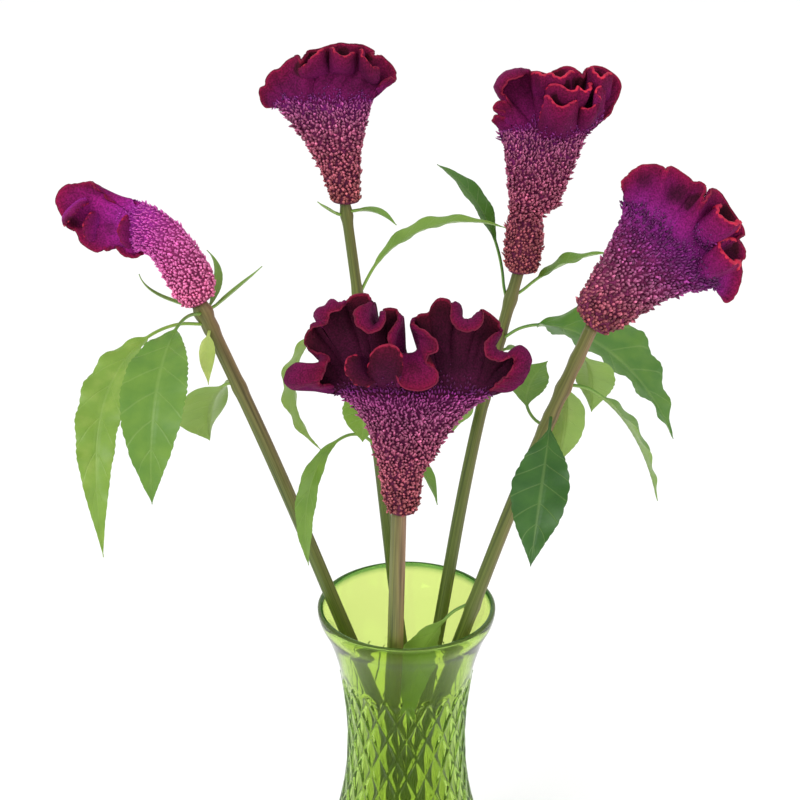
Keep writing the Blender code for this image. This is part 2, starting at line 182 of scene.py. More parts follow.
CRESTS = {
    "e": [
        (-33, 72, -35, 74, 0, -3), (-39, 72, -41, 74, -2, -8), (-48, 73, -41, 76, -2, -10),
        (-56, 72, -40, 77, 0, -11), (-59, 76, -39, 79, 1, -12), (-58, 81, -38, 82, 2, -11),
        (-53, 85, -37, 85, 2, -10), (-48, 83, -36, 87, 2, -8), (-42, 84, -36, 89, 1, -4),
        (-40, 90, -39, 91, 4, 3), (-45, 93, 8), (-49, 97, 11), (-48, 103, 11), (-45, 107, -45, 106, 9, 7),
        (-42, 109, -41, 107, 6, 2), (-41, 111, -37, 108, 4, -1), (-43, 113, -36, 111, 4, -4),
        (-41, 116, -35, 114, 4, -5), (-37, 118, -33, 115, 4, -4), (-34, 121, -31, 115, 4, -4),
        (-31, 119, -29, 117, 4, -2), (-28, 120, -28, 119, 6, 5), (-25, 123, 9), (-21, 125, 11),
        (-16, 124.5, 10), (-13.5, 120.5, -14, 119, 8, 6), (-14.5, 117, -18.5, 118, 5, -3),
        (-15, 113, -22.5, 114, 3, -9), (-14.5, 109, -21.5, 107.5, 2, -11), (-13, 106.5, -16, 103, 2, -11),
        (-11, 107, -12, 103, 2, -10), (-9, 111, -8, 107, 3, -8), (-8.5, 114.5, -7, 113.5, 5, 0),
        (-7, 116.5, 8), (-4, 117, 9), (-1, 116, 9), (1, 113, 0, 111, 7, 3), (1, 109, -1.5, 108, 5, 0),
        (-0.5, 105, -4, 104, 3, -4), (-2, 100, -5.5, 100, 2, -7), (-2.5, 94, -2.5, 92, 1, -9),
        (0, 90, 0, 85, 0, -12), (4, 90.5, -1, 78, 0, -14), (6, 90.5, 2, 72.5, 0, -14),
        (8, 91, 8, 70.5, 0, -14), (9.5, 92, 15, 71.5, 0, -14), (11, 94, 20, 76, 1, -14),
        (11.5, 97, 19, 82, 1, -13), (11.5, 99, 14, 86, 1, -12), (11, 100, 15, 90, 1, -12),
        (11, 101, 20, 93, 2, -12), (10, 103, 19, 98, 3, -10), (8.5, 105, 14, 103, 4, -7),
        (7, 107, 8, 107, 5, -1), (8, 111, 8, 110.5, 7, 5), (11, 113.5, 9), (15.5, 114.5, 10), (17.5, 119, 10),
        (21, 122.5, 10), (25.5, 121.5, 9), (29, 119.5, 27.5, 118, 6, 4), (31, 117, 27, 114.5, 4, 0),
        (31, 113.5, 27, 110, 2, -5), (32.5, 110.5, 29, 106, 1, -8), (35, 109.5, 33, 103.5, 1, -10),
        (37, 110, 38, 104, 1, -10), (39.5, 112, 42, 107, 2, -8), (41, 114, 43, 111, 4, -4), (43.5, 116, 7),
        (48, 113, 8), (52, 108.5, 6), (53, 105, 52, 104, 5, 2), (51.5, 101.5, 48.5, 101.5, 3, -3),
        (49.5, 97.5, 45, 98, 2, -7), (49.5, 94, 44, 93, 1, -9), (52, 92, 46.5, 88.5, 1, -10),
        (55, 91, 50.5, 87, 1, -10), (58.5, 92, 55, 88, 2, -8), (61, 95, 58.5, 89.5, 3, -6),
        (64.5, 94.5, 59.5, 87, 2, -5), (68, 89, 59, 84, 0, -7), (67, 82, 56, 79, -2, -9),
        (64, 75.5, 52, 75.5, -2, -8), (59, 71, 49, 72, -2, -5), (52, 69.5, 47, 70, 0, -2),
    ],
    "a": [
        (-25, 29, 0), (-27.8, 28.1, -2), (-30.9, 26, -4), (-34.9, 25.3, -5), (-38.8, 26.8, -5),
        (-42, 30.2, -4), (-43.6, 33.3, -4), (-46, 33.5, -4), (-46.8, 30.4, -4), (-48.3, 29.8, -4),
        (-50.5, 31.6, -3), (-52, 28.7, -4), (-55.4, 29.5, -4), (-58.6, 31.7, -4), (-61.5, 34.3, -3),
        (-63, 38.8, -2), (-64.5, 41.6, -2), (-68, 42.6, 0), (-70.2, 45.2, 2), (-71.4, 49.5, 3),
        (-74, 55.6, 4), (-74.4, 59.1, 4), (-72.9, 63.3, 5), (-68, 67.6, 6), (-63.3, 68, 7), (-58.6, 69.1, 7),
        (-54.8, 68.6, 5), (-53.1, 67.3, 3), (-53, 65.2, 2), (-50.7, 64.9, 2), (-48, 62.9, 3), (-47.4, 60, 2),
        (-44.4, 58.1, 1), (-38, 57.5, 0), (-30, 56.5, 0),
    ],
    "b": [
        (-37, 54, 0), (-42, 53, -2), (-45, 58.5, -3), (-44.8, 63.5, -2), (-42.3, 65.2, 0), (-41.6, 70, 3),
        (-38.3, 74.3, 5), (-34.5, 75.2, 3), (-30.5, 79.6, 4), (-26.5, 81.3, 2), (-24.2, 81.5, -2),
        (-22, 78, -5), (-20.5, 82, -1), (-18.5, 85, 3), (-13.5, 86.3, 5), (-9.5, 87, 2), (-6, 88.4, 4),
        (-1.4, 89.6, 5), (3.2, 88.6, 3), (6, 88, 0), (9.7, 88.3, 3), (14.5, 86.5, 4), (16.5, 84.6, 2),
        (15.6, 82, -2), (18, 81.3, -1), (20.2, 82.6, 3), (23.4, 80.2, 5), (26.5, 77, 5), (28.3, 73, 3),
        (28, 68.8, 0), (25, 69.3, -3), (21.5, 67, -3), (18, 61, -2),
    ],
    "c": [
        (-11, 86, 0), (-14, 89, -3), (-17.8, 91, -5), (-16, 93.6, -5), (-10.2, 93.6, -3), (-10.2, 96, -3),
        (-15.5, 97.5, -4), (-17, 99, -3), (-15.6, 101.5, -3), (-12, 102.9, -2), (-9.3, 103, -3),
        (-10.5, 105.5, -3), (-14.5, 108.5, -12.5, 107.5, 0, -4), (-15.8, 112, -11.5, 110.5, 3, -7),
        (-14, 116, -10, 112.5, 4, -8), (-10.5, 119.5, -8.5, 114, 5, -8), (-6, 121.7, -5.5, 115.3, 6, -7),
        (-1, 122, -2, 116.5, 7, -5), (3, 121.5, 1, 119.5, 7, 0), (5.3, 120.9, 4), (8.8, 121.1, 5),
        (13.3, 119.5, 4), (18.5, 122.2, 6), (24.5, 124.5, 7), (29, 123.2, 6), (32.3, 119.8, 3),
        (34.2, 117.8, 0), (35.3, 121.8, 3), (39.7, 124.4, 6), (45, 124, 7), (50, 121, 6), (53.8, 117.5, 5),
        (55.5, 114.2, 4), (54.8, 107.5, 2), (52, 101, 1), (49, 94.5, -1), (42.3, 90, -2), (38, 85, 0),
    ],
    "d": [
        (16, 71, 0), (13, 75, -4), (11, 78, -6), (13.6, 82.3, -3), (17.6, 86.3, 1), (21.8, 89.4, 4),
        (26, 90.1, 5), (30.2, 89.9, 4), (32.9, 88.4, 2), (34.7, 86.3, -1), (36.3, 88.7, 2), (39.9, 88.1, 5),
        (44.1, 85.5, 6), (47.3, 82.8, 4), (49.3, 80.2, 2), (52.2, 80.7, 3), (54.3, 79.2, 1), (55.2, 77.2, -2),
        (53.6, 71, -7), (53, 68, -9), (55.5, 71, -9), (57.5, 75.3, -7), (59.5, 75.8, -4), (64.2, 73.2, 0),
        (67.4, 69.4, 3), (70.4, 65.2, 4), (74.5, 59.6, 4), (77.2, 54.6, 3), (77.5, 52.2, 2), (74.2, 49.5, -1),
        (76.6, 46.7, 2), (79, 41.9, 3), (79, 39.2, 3), (76.7, 36.4, 0), (77.6, 30.5, 1), (76.9, 24.1, 1),
        (74.5, 17.2, 0), (71.2, 13.8, -2), (69.2, 13.5, -3), (67.8, 17.2, -1),
    ],
}
# Half depths of a crest's four key rows, and the points across and up each head
CREST_DEPTHS = [2.0, 1.2, 1.1, 0.9]
CREST_GRIDS = {"a": (150, 80), "b": (170, 80), "c": (170, 84), "d": (170, 80), "e": (380, 92)}
CRINKLE_DEPTH = 0.45
# Small sheets folded out in front of a crest: head, left and right root (right, up, back), growing line
FRONT_FOLDS = {
    "e_left": ("e", (-11, 80, -1), (-20, 90, -1), [
        (-11.5, 77.5, -8), (-13.5, 75, -12), (-17, 73.2, -15), (-20.8, 73.8, -16.5), (-24.2, 76.4, -17),
        (-26.4, 80, -17), (-27, 84, -16.5), (-25.8, 87.6, -15), (-23, 89.3, -12), (-20.6, 88.6, -8),
    ]),
    "e_right": ("e", (-15, 70, -3), (1, 70, -3), [
        (-15.4, 78, -9), (-15, 82, -11), (-14.4, 87, -13), (-12.2, 92.2, -14), (-8.8, 94.4, -14.5),
        (-4.5, 95, -14.5), (-1.1, 93.4, -14.5), (1, 89.5, -14.5), (1.2, 83.5, -14.5), (0, 78.3, -14),
        (-1.5, 74, -12),
    ]),
    "b_left": ("b", (-25, 69, 1), (-8, 71, 1), [
        (-24.5, 73.5, -4), (-21.5, 74, -8), (-19, 75.2, -10), (-16.5, 78.5, -10.5), (-13.2, 81.3, -9),
        (-11.6, 83.8, -6), (-9.5, 84, -3),
    ]),
    "b_middle": ("b", (-7, 72, 1), (6, 72, 1), [
        (-6.5, 84, -3), (-5, 84.2, -7), (-4, 82.3, -9), (-2.7, 80.5, -10.5), (-0.1, 79.1, -11), (3.2, 80, -9),
        (5, 82, -6), (6.5, 82.5, -3),
    ]),
    "b_right": ("b", (9, 70, 1), (19, 66, 1), [
        (9, 83, -3), (10.4, 83.2, -6.5), (11, 79.4, -9), (13, 76.5, -10.5), (15.3, 73.4, -9.5),
        (17.5, 74, -7), (19.5, 73, -3),
    ]),
    "c_top": ("c", (6, 106, 3), (29, 103, 2), [
        (4.5, 119, -3), (6.5, 119, -2), (8, 118.4, -4), (9.7, 116.4, -7), (11.5, 116.7, -6.5),
        (14.6, 117.4, -8), (17.7, 115, -10), (20.7, 114.1, -11), (22.9, 116.3, -10), (25.6, 118.6, -8),
        (28, 115, -4),
    ]),
    "c_middle": ("c", (12, 92, 0), (34, 94, 0), [
        (12.5, 107, -7), (15.9, 110.4, -12), (20.3, 109.4, -13), (24.7, 106.3, -14), (28.2, 106.3, -14),
        (30, 109, -12), (32.5, 106.5, -12), (35.3, 106.5, -11), (37.5, 111, -8), (36.5, 113, -4),
    ]),
    "c_front": ("c", (8, 78, -4), (30, 80, -4), [
        (9.8, 92, -9), (11.3, 98.5, -13), (12.6, 103, -16), (14.1, 100.9, -18), (16.8, 97.5, -19),
        (20.3, 95.7, -20), (23.8, 97, -19), (27.3, 99.8, -16), (29.5, 101, -12), (31, 94, -8),
    ]),
    "c_right": ("c", (30, 82, -3), (44, 90, -2), [
        (30.5, 94, -7), (33, 97, -11), (36.1, 95.8, -13), (37.9, 96.3, -13), (41.2, 99.8, -12),
        (42.2, 103.4, -11), (40.3, 106.2, -10), (42.3, 109.8, -8), (45, 110, -4), (47, 105, -1),
    ]),
    "c_far": ("c", (36, 104, 2), (49, 104, 2), [
        (36.8, 118, -2), (37.9, 122, -3), (40.6, 117.3, -6), (42.8, 115, -7), (45, 116.5, -6),
        (48, 118.5, -3), (50, 113, 0),
    ]),
    "d_upper": ("d", (47, 54, -3), (57, 42, -3), [
        (57, 62, -6), (62.5, 66.5, -6), (60.8, 64.3, -9), (60.4, 61.7, -11), (63.5, 58.5, -12),
        (67, 56.2, -12.5), (69.8, 55.8, -12), (72.2, 57.3, -9), (73, 53.5, -4),
    ]),
    "d_lower": ("d", (51, 37, -3), (55, 24, -3), [
        (76.5, 45.5, -1), (71, 48.5, -2), (65.5, 47.8, -5), (62.8, 44.4, -9), (64.2, 40.4, -12),
        (67, 37, -13), (70.5, 34.6, -12.5), (73.6, 35.7, -9), (75, 32, -4),
    ]),
    "a_end": ("a", (-58, 60, 0), (-71, 49, 0), [
        (-57, 57, -3), (-60, 54, -6), (-62.5, 51.5, -7.5), (-65, 48.5, -7.5), (-68, 45.5, -6),
        (-70.5, 44, -3),
    ]),
    "a_middle": ("a", (-53, 33, 0), (-52, 52, 0), [
        (-55, 33.5, -2), (-58, 37, -5), (-58.8, 41, -7), (-58, 45, -7), (-56, 49, -5), (-53, 52, -2),
    ]),
    "a_low": ("a", (-33, 30, 0), (-34, 49, 0), [
        (-35, 30.5, -4), (-38.5, 34.5, -8), (-39.7, 39, -10), (-39, 43.5, -10), (-37, 47, -8),
        (-34.5, 50, -4),
    ]),
}
# Heights of a fold's key rows as shares, how far each bulges back, and its half depth
FOLD_HEIGHTS = (0, 0.45, 0.8, 0.93, 1)
FOLD_BULGES = (1.5, -3, -2.5, -0.5, 1)
FOLD_DEPTHS = (1.6, 1.6, 1.3, 1.1, 0.9)
FOLD_GRID = (100, 32)
FOLD_TUCK = 5.0
CORD_RADIUS = 0.55
CORD_SIDES = 5
# Looks of each head: how much painted shade darkens the crest's front (1 darkest), how bright its growing
# line and those of its folds are and how thick the latter are, how soon the florets turn violet, how long
# they are, how light they are, how much lighter the foot of the crest is, how far it has turned from violet
# to wine, and how coarse the florets are
LOOK_KEYS = ("shade", "line", "fold_line", "cord", "violet", "bristle", "light", "band", "red", "bead")
HEAD_LOOKS = {key: dict(zip(LOOK_KEYS, row)) for key, row in {
    "a": (0.3, 0.15, 0.8, 0.7, 0.4, 0.9, 1.2, 0.8, 0.0, 1.15),
    "b": (0.55, 0.15, 0.6, 0.6, 0.75, 1.15, -0.02, -0.1, 0.25, 1.25),
    "c": (0.45, 0.3, 0.9, 0.9, 0.65, 1.5, 0.05, 0.0, 0.25, 1.2),
    "d": (0.3, 0.25, 0.9, 1.2, 1.3, 1.0, -0.25, 0.2, 0.0, 1.35),
    "e": (1.0, 0.12, 0.5, 0.9, 0.8, 1.2, 0.0, -0.2, 0.2, 1.12),
}.items()}
# Painted shade in the hollows of the crests: right, up, radius, how far forward the surface may lie, and how
# dark
POCKET_SHADE = {
    "a": [(-45, 42, 4.5, -9, 0.8), (-65, 46, 4, -9, 0.9)],
    "b": [(-22, 74, 5, -6, 1.8), (-16, 82.5, 3, -6, 1.8), (0, 84, 3.5, -6, 1.8), (13.5, 80.5, 3, -6, 1.8)],
    "c": [
        (9.5, 119.5, 2.5, -4, 1.8), (19.5, 118.5, 5, -4, 1.8), (22, 111, 4, -10.5, 1.8),
        (20.5, 102, 6, -13, 1.8), (37, 102, 6, -6, 1.8), (42, 119, 3, -3, 1.8), (31, 113, 4.5, -8, 1.8),
    ],
    "d": [
        (50.5, 68, 6, -5, 1.8), (67.5, 62.5, 6, -6, 1.8), (70, 42.5, 6, -8, 1.8), (23.5, 81, 6, -9, 0.8),
        (41, 74, 7.5, -9, 0.9),
    ],
    "e": [(7.5, 83.5, 6.5, -18, 1.6)],
}
# Florets by their place on the head (0 neck, 1 foot of the crest): half width, length, spacing, upward lean
FLORET_ZONES = (0.0, 0.6, 1.0, 1.5)
FLORET_WIDTHS = (0.85, 0.8, 0.55, 0.4)
FLORET_LENGTHS = (3.4, 3.4, 2.9, 1.3)
FLORET_STEPS = (1.7, 1.55, 1.3, 1.1)
FLORET_LEANS = (0.7, 0.8, 1.2, 1.6)
# Each floret's rings of points as shares of its length and half width, and how deep it is rooted
FLORET_RINGS = ((0.3, 1.0), (0.72, 0.62))
FLORET_SIDES = 4
FLORET_ROOT = 0.5

# Room, in metres: softboxes by place, side and watts, and the camera's place
FLOOR_HALF = 9.0
SOFTBOXES = (("key softbox", (-1.3, -1.6, 1.9), 1.4, 26.0), ("fill softbox", (1.6, -1.2, 1.2), 1.2, 8.0))
SOFTBOX_AIM = (0, 0, 0.35)
CAMERA_PLACE = (-0.00384, -1.03713, 0.83262)
# Camera's focal length and sensor width, in millimetres
FOCAL_LENGTH = 90.86
SENSOR_WIDTH = 36.0


def linear(colour):
    """An sRGB hex colour as linear RGBA."""
    value = np.array([int(colour[i:i + 2], 16) for i in (0, 2, 4)]) / 255
    value = np.where(value <= 0.04045, value / 12.92, ((value + 0.055) / 1.055) ** 2.4)
    return (*(float(c) for c in value), 1.0)


def add_node(tree, kind, sockets=None, stops=(), out=0, **settings):
    """Adds a node with its settings and gives back one of its outputs. A socket is given a value or another
    node's output. Stops fill a colour ramp."""
    node = tree.nodes.new(kind)
    for name, value in settings.items():
        setattr(node, name, value)
    for name, value in (sockets or {}).items():
        if isinstance(value, bpy.types.NodeSocket):
            tree.links.new(value, node.inputs[name])
        else:
            node.inputs[name].default_value = value
    for i, (place, colour) in enumerate(stops):
        ramp = node.color_ramp
        stop = ramp.elements[i] if i < 2 else ramp.elements.new(place)
        stop.position = place
        stop.color = linear(colour)
    return node.outputs[out]


def new_material(name, **sockets):
    """A Principled material with these values on its shader's own sockets."""
    material = bpy.data.materials.new(name)
    material.use_nodes = True
    shader = material.node_tree.nodes["Principled BSDF"]
    for socket, value in sockets.items():
        shader.inputs[socket.replace("_", " ")].default_value = value
    return material, material.node_tree, shader


def add_piece(name, points, faces, material, nodes=(), values=None, uv=None):
    """A mesh from arrays: points (n, 3), a list of face arrays, values per point by attribute name, and uv
    (n, 2). It rides on the only body, gets the given material, and hides the CAD nodes it stands for."""
    mesh = bpy.data.meshes.new(name)
    mesh.vertices.add(len(points))
    mesh.vertices.foreach_set("co", np.ascontiguousarray(points * MM, dtype=np.float32).ravel())
    corners = np.concatenate([part.ravel() for part in faces]).astype(np.int32)
    sizes = np.concatenate([np.full(len(part), part.shape[1]) for part in faces])
    starts = np.concatenate([[0], np.cumsum(sizes)[:-1]]).astype(np.int32)
    mesh.loops.add(len(corners))
    mesh.loops.foreach_set("vertex_index", corners)
    mesh.polygons.add(len(sizes))
    mesh.polygons.foreach_set("loop_start", starts)
    mesh.update(calc_edges=True)
    for key, value in (values or {}).items():
        layer = mesh.attributes.new(key, "FLOAT", "POINT")
        layer.data.foreach_set("value", np.ascontiguousarray(value, dtype=np.float32).ravel())
    if uv is not None:
        layer = mesh.uv_layers.new(name="UVMap")
        layer.data.foreach_set("uv", np.ascontiguousarray(uv[corners], dtype=np.float32).ravel())
    mesh.shade_smooth()
    mesh.materials.append(material)
    item = bpy.data.objects.new(name, mesh)
    bpy.context.scene.collection.objects.link(item)
    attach(item, "root")
    if nodes:
        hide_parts(*nodes)


def tube_faces(rows, columns, start=0):
    """Quads of a grid of rows that each close on themselves. They face out when the columns run
    anticlockwise."""
    i, j = np.meshgrid(np.arange(rows - 1), np.arange(columns), indexing="ij")
    k = (j + 1) % columns
    quads = np.stack([i * columns + j, i * columns + k, (i + 1) * columns + k, (i + 1) * columns + j], -1)
    return quads.reshape(-1, 4) + start


def fan(ring, centre, flip=False):
    """Triangles from a closed ring of vertex numbers to a centre."""
    after = np.roll(ring, -1)
    parts = (after, ring) if flip else (ring, after)
    return np.stack([*parts, np.full(len(ring), centre)], 1)


def closed_tube(rows, columns):
    """Faces of a tube with closed ends. After the grid of points come the centres of its first and its last
    row."""
    count = rows * columns
    first = np.arange(columns)
    ends = np.concatenate([fan(first, count, True), fan(first + count - columns, count + 1)])
    return [tube_faces(rows, columns), ends]


def curve_through(points, shares):
    """Cubic through points, at shares 0 to 1 of the way along their numbers. At each point the curve heads
    along the mean of the two chords, the shorter one counting more, and its pull is the chord's length."""
    points = np.asarray(points, float)
    last = len(points) - 1
    place = np.clip(np.asarray(shares, float) * last, 0, last)
    low = np.minimum(place.astype(int), last - 1)
    t = (place - low).reshape(-1, *[1] * (points.ndim - 1))
    chord = np.diff(points, axis=0)
    length = np.linalg.norm(chord, axis=-1, keepdims=True) + 1e-6
    course = chord / length
    before = np.concatenate([course[:1], course])
    after = np.concatenate([course, course[-1:]])
    long_before = np.concatenate([length[:1], length])
    long_after = np.concatenate([length, length[-1:]])
    heading = (before * long_after + after * long_before) / (long_before + long_after)
    start, end = points[low], points[low + 1]
    pull, push = heading[low] * length[low], heading[low + 1] * length[low]
    rise = 3 * t**2 - 2 * t**3
    return start * (1 - rise) + end * rise + pull * (t**3 - 2 * t**2 + t) + push * (t**3 - t**2)


def way_along(points):
    """Distance from the first point of a line to each of its points."""
    steps = np.linalg.norm(np.diff(points, axis=0), axis=1)
    return np.concatenate([[0], np.cumsum(steps)])


def unit(vectors):
    """Vectors brought to a length of one."""
    return vectors / np.maximum(np.linalg.norm(vectors, axis=-1, keepdims=True), 1e-9)


def smooth_step(value, low, high):
    """0 below low, 1 above high and 3t^2 - 2t^3 between."""
    t = np.clip((value - low) / (high - low), 0, 1)
    return t * t * (3 - 2 * t)


def rod(path, radius):
    """A closed round rod: path + radius (right cos a + rear sin a), where right is +Y x path and rear is
    path x right. The radius is given for each point of the path and each angle a."""
    ahead = unit(np.gradient(path, axis=0))
    right = unit(np.cross((0, 1, 0), ahead))
    rear = np.cross(ahead, right)
    angle = np.linspace(0, TURN, radius.shape[1], endpoint=False)
    ring = np.cos(angle)[:, None] * right[:, None] + np.sin(angle)[:, None] * rear[:, None]
    points = path[:, None] + radius[..., None] * ring
    return np.concatenate([points.reshape(-1, 3), path[:1], path[-1:]]), closed_tube(*radius.shape)


# Materials

# Noise cells per metre: 11 mm blotches of a leaf, 13 mm clouds and 0.9 mm grain of the velvet, and 6 mm
# changes of red along the growing line. The velvet's real grain is too fine to show, so it is drawn coarser.
LEAF_MOTTLE = 90.0
CREST_CLOUD = 75.0
CREST_GRAIN = 1100.0
LINE_BEADS = 160.0
# Streaks of a stalk, on its UV: 26 round it and about 80 mm long
STALK_STREAKS = (26.0, 0.35, 1.0)


def glass_material():
    """Pressed glass: soda-lime glass tinted green through its thickness. The eye sees pale yellow-green where
    light crosses one wall, a deeper green through the pressed lattice, dark green along the rim, and small
    bright edges on the ridges. The dark green along the rim and a faint part of the lattice's green are
    painted shade, carried by the rim attribute."""
    material, tree, shader = new_material(
        "green pressed glass", Roughness=0.02, IOR=1.5, Specular_IOR_Level=0.3, Specular_Tint=linear("A8D860")
    )
    # Painted shade: the rim attribute turns the base colour dark green and makes the glass less clear along
    # the rim, and a little greener over the lattice.
    rim = add_node(tree, "ShaderNodeAttribute", out="Fac", attribute_name="rim")
    colour = add_node(tree, "ShaderNodeValToRGB", {"Fac": rim}, stops=((0.0, "E6F094"), (1.0, "26842A")))
    clear = add_node(
        tree, "ShaderNodeMapRange", {"Value": rim, "From Min": 0.3, "To Min": 0.985, "To Max": 0.6}
    )
    tree.links.new(colour, shader.inputs["Base Color"])
    tree.links.new(clear, shader.inputs["Transmission Weight"])
    tint = add_node(tree, "ShaderNodeVolumeAbsorption", {"Color": linear("A6D84A"), "Density": 80.0})
    tree.links.new(tint, tree.nodes["Material Output"].inputs["Volume"])
    return material


def stem_material():
    """Green flower stalk: ribbed, half matt and faintly waxy. The eye sees streaks along it and a red-brown
    flush on one flank and at the top."""
    material, tree, shader = new_material("ribbed green stalk", Roughness=0.5, Specular_IOR_Level=0.4)
    spot = add_node(tree, "ShaderNodeUVMap", uv_map="UVMap")
    flush = add_node(tree, "ShaderNodeAttribute", out="Fac", attribute_name="flush")
    wide = add_node(tree, "ShaderNodeMapping", {"Vector": spot, "Scale": STALK_STREAKS})
    streaks = add_node(tree, "ShaderNodeTexNoise", {"Vector": wide, "Scale": 1.0, "Detail": 3.0})
    green = add_node(tree, "ShaderNodeValToRGB", {"Fac": streaks}, stops=((0.3, "37490E"), (0.72, "607228")))
    brown = add_node(tree, "ShaderNodeValToRGB", {"Fac": streaks}, stops=((0.3, "5E3A28"), (0.72, "A07C58")))
    blush = add_node(
        tree, "ShaderNodeMix", {"Factor": flush, MIX_A: green, MIX_B: brown}, out=MIX_OUT, data_type="RGBA",
        clamp_factor=True,
    )
    tree.links.new(blush, shader.inputs["Base Color"])
    bump = add_node(tree, "ShaderNodeBump", {"Height": streaks, "Strength": 0.25, "Distance": 0.6 * MM})
    tree.links.new(bump, shader.inputs["Normal"])
    return material


def leaf_material():
    """Fresh leaf blade: thin, soft and half matt above, paler and duller below, with light veins that run out
    from the midrib and curve towards the tip. UV is the share along the blade and across it."""
    material, tree, shader = new_material("celosia leaf blade", Roughness=0.42, Specular_IOR_Level=0.4)
    spot = add_node(tree, "ShaderNodeUVMap", uv_map="UVMap")
    parts = add_node(tree, "ShaderNodeSeparateXYZ", {"Vector": spot}).node.outputs
    across = add_node(tree, "ShaderNodeMath", {0: parts["Y"]}, operation="ABSOLUTE")
    tone = add_node(tree, "ShaderNodeAttribute", out="Fac", attribute_name="tone")
    under = add_node(tree, "ShaderNodeAttribute", out="Fac", attribute_name="under")
    place = add_node(tree, "ShaderNodeTexCoord", out="Object")
    mottle = add_node(tree, "ShaderNodeTexNoise", {"Vector": place, "Scale": LEAF_MOTTLE, "Detail": 4.0})
    varied = add_node(tree, "ShaderNodeMath", {0: mottle, 1: 0.3, 2: tone}, operation="MULTIPLY_ADD")
    shade = add_node(
        tree, "ShaderNodeValToRGB", {"Fac": varied},
        stops=((0.12, "235010"), (1.0, "AAB860"), (0.42, "437020"), (0.75, "739432")),
    )
    lean = add_node(tree, "ShaderNodeMath", {0: across, 1: -VEIN_LEAN}, operation="MULTIPLY")
    ribs = add_node(tree, "ShaderNodeMath", {0: parts["X"], 1: VEINS, 2: lean}, operation="MULTIPLY_ADD")
    saw = add_node(tree, "ShaderNodeMath", {0: ribs, 1: 1.0}, operation="PINGPONG")
    vein, rib = (
        add_node(
            tree, "ShaderNodeMapRange",
            {"Value": value, "From Min": low, "From Max": high, "To Min": 1.0, "To Max": 0.0},
            interpolation_type="SMOOTHSTEP",
        )
        for value, low, high in ((saw, 0.0, 0.12), (across, 0.02, 0.09))
    )
    lines = add_node(tree, "ShaderNodeMath", {0: vein, 1: rib}, operation="MAXIMUM")
    colour = shade
    for where, strength, paler in ((lines, 0.11, "A8C070"), (under, 0.35, "A6C26C")):
        share = add_node(tree, "ShaderNodeMath", {0: where, 1: strength}, operation="MULTIPLY")
        colour = add_node(
            tree, "ShaderNodeMix", {"Factor": share, MIX_A: colour, MIX_B: linear(paler)}, out=MIX_OUT,
            data_type="RGBA",
        )
    tree.links.new(colour, shader.inputs["Base Color"])
    raised = add_node(tree, "ShaderNodeMath", {0: mottle, 1: 0.6, 2: lines}, operation="MULTIPLY_ADD")
    bump = add_node(
        tree, "ShaderNodeBump", {"Height": raised, "Strength": 0.35, "Distance": 0.5 * MM}, invert=True
    )
    tree.links.new(bump, shader.inputs["Normal"])
    return material


def crest_material():
    """Velvet of the crest: crowded tiny scales that scatter light at the edges. The eye sees violet near the
    florets, deep wine on the front, magenta on the curled-over back, and a soft halo where the sheet turns
    away. How deep the front's wine is comes partly from painted shade: a lit and a shaded copy of the front's
    colours, mixed by the shade attribute."""
    material, tree, shader = new_material(
        "crest velvet", Roughness=0.85, Sheen_Weight=0.08, Sheen_Roughness=0.4, Sheen_Tint=linear("C0408C"),
        Specular_IOR_Level=0.12,
    )
    climb, flank, shade, light = (
        add_node(tree, "ShaderNodeAttribute", out="Fac", attribute_name=name)
        for name in ("climb", "flank", "shade", "light")
    )
    # Colours by climb: the lit front, the same front in painted shade, and the back.
    bright, dark, rear = (
        add_node(tree, "ShaderNodeValToRGB", {"Fac": climb}, stops=stops)
        for stops in (
            ((0.0, "6A2C46"), (1.0, "A01448"), (0.35, "6E2450"), (0.5, "7A1E78"), (0.62, "7C1262"),
             (0.8, "7A0E4C"), (0.96, "860F44")),
            ((0.0, "6A2C46"), (1.0, "7A0E2C"), (0.35, "66204C"), (0.5, "581246"), (0.6, "400A2C"),
             (0.8, "340418"), (0.96, "42061A")),
            ((0.0, "6A2C46"), (1.0, "6E0C34"), (0.35, "6E2450"), (0.5, "6A1A64"), (0.7, "661050"),
             (0.85, "6E0C4A"), (0.97, "6C0A3A")),
        )
    )
    # Painted shade: shade mixes the shaded front into the lit one, then flank brings in the back.
    colour = bright
    for share, over in ((shade, dark), (flank, rear)):
        colour = add_node(
            tree, "ShaderNodeMix", {"Factor": share, MIX_A: colour, MIX_B: over}, out=MIX_OUT,
            data_type="RGBA",
        )
    place = add_node(tree, "ShaderNodeTexCoord", out="Object")
    grain = add_node(tree, "ShaderNodeTexNoise", {"Vector": place, "Scale": CREST_GRAIN, "Detail": 2.0})
    cloud = add_node(tree, "ShaderNodeTexNoise", {"Vector": place, "Scale": CREST_CLOUD, "Detail": 3.0})
    speck, drift = (
        add_node(
            tree, "ShaderNodeMapRange",
            {"Value": noise, "From Min": low, "From Max": 0.7, "To Min": darkest, "To Max": lightest},
        )
        for noise, low, darkest, lightest in ((grain, 0.35, 0.6, 1.4), (cloud, 0.3, 0.7, 1.25))
    )
    both = add_node(tree, "ShaderNodeMath", {0: speck, 1: drift}, operation="MULTIPLY")
    lit = add_node(tree, "ShaderNodeMath", {0: both, 1: light}, operation="MULTIPLY")
    varied = add_node(tree, "ShaderNodeVectorMath", {0: colour, "Scale": lit}, operation="SCALE")
    tree.links.new(varied, shader.inputs["Base Color"])
    bump = add_node(tree, "ShaderNodeBump", {"Height": grain, "Strength": 0.6, "Distance": 0.8 * MM})
    tree.links.new(bump, shader.inputs["Normal"])
    return material


